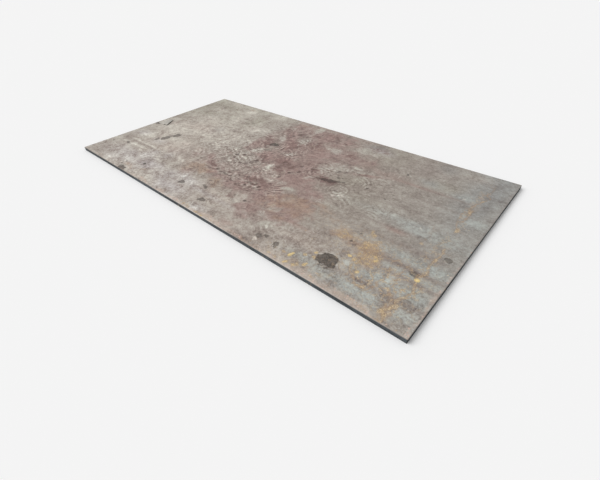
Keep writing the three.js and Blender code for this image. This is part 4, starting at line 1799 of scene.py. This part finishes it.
# %% Coat the plate
SHARP_ANGLE = 40

for finish in (top_finish, cut_finish, under_finish):
    plate_mesh.materials.append(finish)
plate_mesh.set_sharp_from_angle(angle=math.radians(SHARP_ANGLE))
print("materials:", ", ".join(finish.name for finish in plate_mesh.materials))

# %% [markdown]
# ## Crumbs of rust and mud
#
# The thickest rust stands up in crumbs, and dried mud does too. There are far too many to place by
# hand, so Geometry Nodes scatter them: points on the top face, crowded where an attribute is strong,
# each with a small flattened ball turned and sized at random. Every crumb also keeps a random tone.
# The result is turned into a plain mesh, because the next user of the model has no use for the tree.
# The tree's inputs have names, so one tree serves rust and mud alike.

# %% Sockets of the tree
CRUMB_INPUTS = [
    ("Geometry", "NodeSocketGeometry"),
    ("Crowd", "NodeSocketString"),
    ("Crumbs to the square metre", "NodeSocketFloat"),
    ("Smallest", "NodeSocketFloat"),
    ("Largest", "NodeSocketFloat"),
    ("Flatness", "NodeSocketFloat"),
    ("Seed", "NodeSocketInt"),
    ("Finish", "NodeSocketMaterial"),
]
scatter = bpy.data.node_groups.new("scatter_crumbs", "GeometryNodeTree")
for name, kind in CRUMB_INPUTS:
    scatter.interface.new_socket(name, in_out="INPUT", socket_type=kind)
scatter.interface.new_socket("Geometry", in_out="OUTPUT", socket_type="NodeSocketGeometry")
wires = Wiring(scatter)
given = wires.node("NodeGroupInput").outputs
print(f"scatter_crumbs has {len(CRUMB_INPUTS)} inputs")

# %% [markdown]
# The first half of the tree decides where crumbs lie: on faces that look up, and the more of them the
# stronger the attribute that Crowd names. Where it is weak there are none.

# %% Where crumbs lie
CROWD_STARTS = 0.45
LOOKS_UP = 0.9

crowding = wires.node("GeometryNodeInputNamedAttribute", {"Name": given["Crowd"]}, data_type="FLOAT")
strong = wires.node(
    "ShaderNodeMapRange",
    {"Value": crowding.outputs["Attribute"], "From Min": CROWD_STARTS, "From Max": 1.0},
)
density = wires.times(strong.outputs["Result"], given["Crumbs to the square metre"])
steep = wires.parts(wires.node("GeometryNodeInputNormal").outputs[0])["Z"]
upward = wires.node("FunctionNodeCompare", {"A": steep, "B": LOOKS_UP}, operation="GREATER_THAN")
spread = wires.node(
    "GeometryNodeDistributePointsOnFaces",
    {
        "Mesh": given["Geometry"],
        "Selection": upward.outputs["Result"],
        "Density": density,
        "Seed": given["Seed"],
    },
)
print("crumbs lie on faces that look up")

# %% [markdown]
# The second half shapes them. Each point gets a ball with twenty faces, tilted and turned at random,
# sized between Smallest and Largest, and flattened. Its tone is a random number that the finish reads.

# %% Shape of a crumb
BALL_FACES = 20
TILT = 0.5
TONE_SEED = 5

ball = wires.node("GeometryNodeMeshIcoSphere", {"Radius": 1.0, "Subdivisions": 1}).outputs["Mesh"]
turn = wires.node("FunctionNodeRandomValue", {"Seed": given["Seed"]}, data_type="FLOAT_VECTOR")
turn.inputs["Max"].default_value = (TILT, TILT, 2 * math.pi)
size = wires.node("FunctionNodeRandomValue", {"Seed": given["Seed"]}, data_type="FLOAT")
wires.feed(size.inputs[2], given["Smallest"])
wires.feed(size.inputs[3], given["Largest"])
across = size.outputs[1]
low = wires.times(across, given["Flatness"])
shape = wires.node("ShaderNodeCombineXYZ", {"X": across, "Y": across, "Z": low})
placed = wires.node(
    "GeometryNodeInstanceOnPoints",
    {
        "Points": spread.outputs["Points"],
        "Instance": ball,
        "Rotation": turn.outputs[0],
        "Scale": shape.outputs["Vector"],
    },
)
tone = wires.node("FunctionNodeRandomValue", {"Seed": TONE_SEED}, data_type="FLOAT").outputs[1]
toned = wires.node(
    "GeometryNodeStoreNamedAttribute",
    {"Geometry": placed.outputs["Instances"], "Name": "tone", "Value": tone},
    data_type="FLOAT",
    domain="INSTANCE",
)
plain = wires.node("GeometryNodeRealizeInstances", {"Geometry": toned.outputs["Geometry"]})
coated = wires.node(
    "GeometryNodeSetMaterial", {"Geometry": plain.outputs["Geometry"], "Material": given["Finish"]}
)
wires.feed(wires.node("NodeGroupOutput").inputs[0], coated.outputs["Geometry"])
print(f"scatter_crumbs: {len(scatter.nodes)} nodes")

# %% [markdown]
# A crumb's finish goes from a dark colour to a pale one by its tone, with a fine grain over both, and
# it is nearly as rough as a surface can be.

# %% Crumb finishes
RUST_CRUMB_PALE = paint(232, 196, 124)
MUD_DARK = paint(58, 50, 44)
MUD_PALE = paint(106, 95, 84)
CRUMB_RELIEF = 0.0004


def crumb_finish(name, dark, pale, roughness):
    """A finish that goes from dark to pale by the crumb's tone."""
    finish, wires, surface = new_material(name)
    place = wires.own_place()
    colour = wires.mix(wires.attribute("tone"), dark, pale)
    grain = wires.step(wires.noise(place, 700.0, 3.0, 0.7), 0.3, 0.7, 0.75, 1.15)
    wires.feed(surface["Base Color"], wires.tinted(colour, grain))
    surface["Roughness"].default_value = roughness
    height = wires.times(wires.noise(place, 900.0, 3.0, 0.6), CRUMB_RELIEF)
    wires.feed(surface["Normal"], wires.bump(height, 0.6))
    return finish


rust_crumb = crumb_finish("rust_crumb", RUST_MIDDLE, RUST_CRUMB_PALE, 0.92)
mud_crumb = crumb_finish("mud_crumb", MUD_DARK, MUD_PALE, 0.95)
print("crumb finishes:", rust_crumb.name, "and", mud_crumb.name)

# %% [markdown]
# To run the tree, an object that shares the plate's mesh carries it as a modifier. What comes out is
# kept as a plain mesh without the painted attributes, and the carrier is thrown away.

# %% Run the tree
PAINTED = [layer.name for layer in plate_mesh.attributes if layer.data_type[:5] == "FLOAT"]
PAINTED.remove("position")


def scatter_crumbs(name, values):
    """Runs the tree on the plate with these input values and keeps the result as a plain piece."""
    carrier = bpy.data.objects.new("carrier", plate_mesh)
    scene.collection.objects.link(carrier)
    modifier = carrier.modifiers.new("scatter", "NODES")
    modifier.node_group = scatter
    for item in scatter.interface.items_tree:
        if item.in_out == "INPUT" and item.name in values:
            modifier[item.identifier] = values[item.name]
    carrier.data.update()
    shaped = carrier.evaluated_get(bpy.context.evaluated_depsgraph_get())
    mesh = bpy.data.meshes.new_from_object(shaped)
    bpy.data.objects.remove(carrier)
    mesh.name = name
    for extra in [layer.name for layer in mesh.attributes if layer.name in PAINTED]:
        mesh.attributes.remove(mesh.attributes[extra])
    piece = bpy.data.objects.new(name, mesh)
    scene.collection.objects.link(piece)
    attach(piece, "root")
    print(f"{name}: {len(mesh.polygons) // BALL_FACES} crumbs, {len(mesh.polygons)} triangles")


print(f"{len(PAINTED)} painted attributes will be left behind")

# %% [markdown]
# Rust crumbs are small and close together. Mud falls from boots in larger, flatter bits.

# %% Scatter the crumbs
RUST_CRUMBS = {
    "Crowd": "rust",
    "Crumbs to the square metre": 24000.0,
    "Smallest": 0.0010,
    "Largest": 0.0026,
    "Flatness": 0.35,
    "Seed": 3,
    "Finish": rust_crumb,
}
MUD_CRUMBS = {
    "Crowd": "mud",
    "Crumbs to the square metre": 30000.0,
    "Smallest": 0.0012,
    "Largest": 0.0032,
    "Flatness": 0.30,
    "Seed": 8,
    "Finish": mud_crumb,
}
scatter_crumbs("rust_crumbs", RUST_CRUMBS)
scatter_crumbs("mud_crumbs", MUD_CRUMBS)

# %% [markdown]
# ## A lifted flake of scale
#
# Near the left end a flake of scale the size of a hand has come loose along one side and curls up. Its
# shadow is the darkest line on that half of the plate. Its shape is a patch between four corners,
# raised towards the loose side. Noise tears its edges and ripples its face.

# %% Shape of the flake
FLAKE_HELD = (Vector((-1.466, -0.070)), Vector((-1.476, 0.026)))
FLAKE_LOOSE = (Vector((-1.340, -0.058)), Vector((-1.408, 0.054)))
FLAKE_REST = 0.0007  # how high its upper side lies where it is held
FLAKE_LIFT = 0.0075
FLAKE_CURL = 2.2  # the larger, the later it leaves the plate
FLAKE_THICK = 0.0009
FLAKE_STEPS = 28
TEAR_REACH, TEAR_SIZE = 0.006, 0.018
RIPPLE_HEIGHT, RIPPLE_SIZE = 0.0004, 0.03
RIPPLE_LOWEST = -0.0002


def flake_point(across, along, under):
    """A point of the flake: across runs from its held side to its loose side, along runs up it."""
    held = FLAKE_HELD[0].lerp(FLAKE_HELD[1], along)
    spot = held.lerp(FLAKE_LOOSE[0].lerp(FLAKE_LOOSE[1], along), across)
    edge = 4 * max((across - 0.5) ** 2, (along - 0.5) ** 2)
    tear = noise.noise_vector(Vector((spot.x / TEAR_SIZE, spot.y / TEAR_SIZE, 4.0)))
    push = tear * TEAR_REACH * edge
    arch = 0.55 + 0.45 * math.sin(math.pi * min(1.0, along + 0.25))
    lift = FLAKE_LIFT * across**FLAKE_CURL * arch
    ripple = RIPPLE_HEIGHT * noise.noise(Vector((spot.x / RIPPLE_SIZE, spot.y / RIPPLE_SIZE, 8.0)))
    height = TOP + FLAKE_REST + lift + max(RIPPLE_LOWEST, ripple)
    return (spot.x + push.x, spot.y + push.y, height - (FLAKE_THICK if under else 0))


print(f"the flake lifts {1000 * (flake_point(1.0, 0.5, False)[2] - TOP):.1f} mm")

# %% [markdown]
# The flake is thin but not paper: one grid makes its upper side, a second its underside, and a strip
# of faces closes the gap all round.

# %% Mesh of the flake
FLAKE_SHARP_ANGLE = 50

rows = FLAKE_STEPS + 1
shares = [step / FLAKE_STEPS for step in range(rows)]
flake_points = [flake_point(s, t, under) for under in (False, True) for s in shares for t in shares]
flake_faces, flake_skins = [], []
for s in range(FLAKE_STEPS):
    for t in range(FLAKE_STEPS):
        loop = [s * rows + t, (s + 1) * rows + t, (s + 1) * rows + t + 1, s * rows + t + 1]
        flake_faces += [loop, [corner + rows * rows for corner in loop[::-1]]]
        flake_skins += [0, 1]
edge_loop = [s * rows for s in range(rows)]
edge_loop += [FLAKE_STEPS * rows + t for t in range(1, rows)]
edge_loop += [s * rows + FLAKE_STEPS for s in range(FLAKE_STEPS - 1, -1, -1)]
edge_loop += list(range(FLAKE_STEPS - 1, 0, -1))
for first, second in zip(edge_loop, edge_loop[1:] + edge_loop[:1]):
    flake_faces.append([first + rows * rows, second + rows * rows, second, first])
    flake_skins.append(1)
flake_mesh = bpy.data.meshes.new("lifted_flake")
flake_mesh.from_pydata(flake_points, [], flake_faces)
flake_mesh.polygons.foreach_set("material_index", flake_skins)
flake_mesh.polygons.foreach_set("use_smooth", [True] * len(flake_faces))
flake_mesh.set_sharp_from_angle(angle=math.radians(FLAKE_SHARP_ANGLE))
print(f"lifted_flake: {len(flake_faces)} faces")

# %% [markdown]
# The flake's upper side is the same dusty scale as its surroundings, a little paler. Its underside is
# the clean black oxide that was against the steel.

# %% Flake finishes
FLAKE_DUST = paint(168, 164, 156)
FLAKE_PALE = paint(184, 178, 168)
OXIDE_BLACK = paint(44, 44, 44)
OXIDE_BROWN = paint(60, 57, 54)
FLAKE_RELIEF = 0.0003


def scale_finish(name, first, second, roughness):
    """A finish of scale in two tones, made uneven by the mottle."""
    finish, wires, surface = new_material(name)
    place = wires.own_place()
    uneven = use_group(wires, mottle, Place=place, Amount=1.4, Brushed=1.0)
    colour = wires.mix(uneven["Warmth"], first, second)
    wires.feed(surface["Base Color"], wires.tinted(colour, uneven["Light"]))
    surface["Roughness"].default_value = roughness
    surface["Metallic"].default_value = 0.15
    wires.feed(surface["Normal"], wires.bump(wires.times(uneven["Height"], FLAKE_RELIEF), 0.6))
    return finish


dusty_flake = scale_finish("dusty_flake", FLAKE_DUST, FLAKE_PALE, 0.6)
black_oxide = scale_finish("black_oxide", OXIDE_BLACK, OXIDE_BROWN, 0.5)
flake_mesh.materials.append(dusty_flake)
flake_mesh.materials.append(black_oxide)
flake = bpy.data.objects.new("lifted_flake", flake_mesh)
scene.collection.objects.link(flake)
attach(flake, "root")
print(f"flake finishes: {dusty_flake.name} above, {black_oxide.name} below")

# %% [markdown]
# ## Finish
#
# The scene is complete.
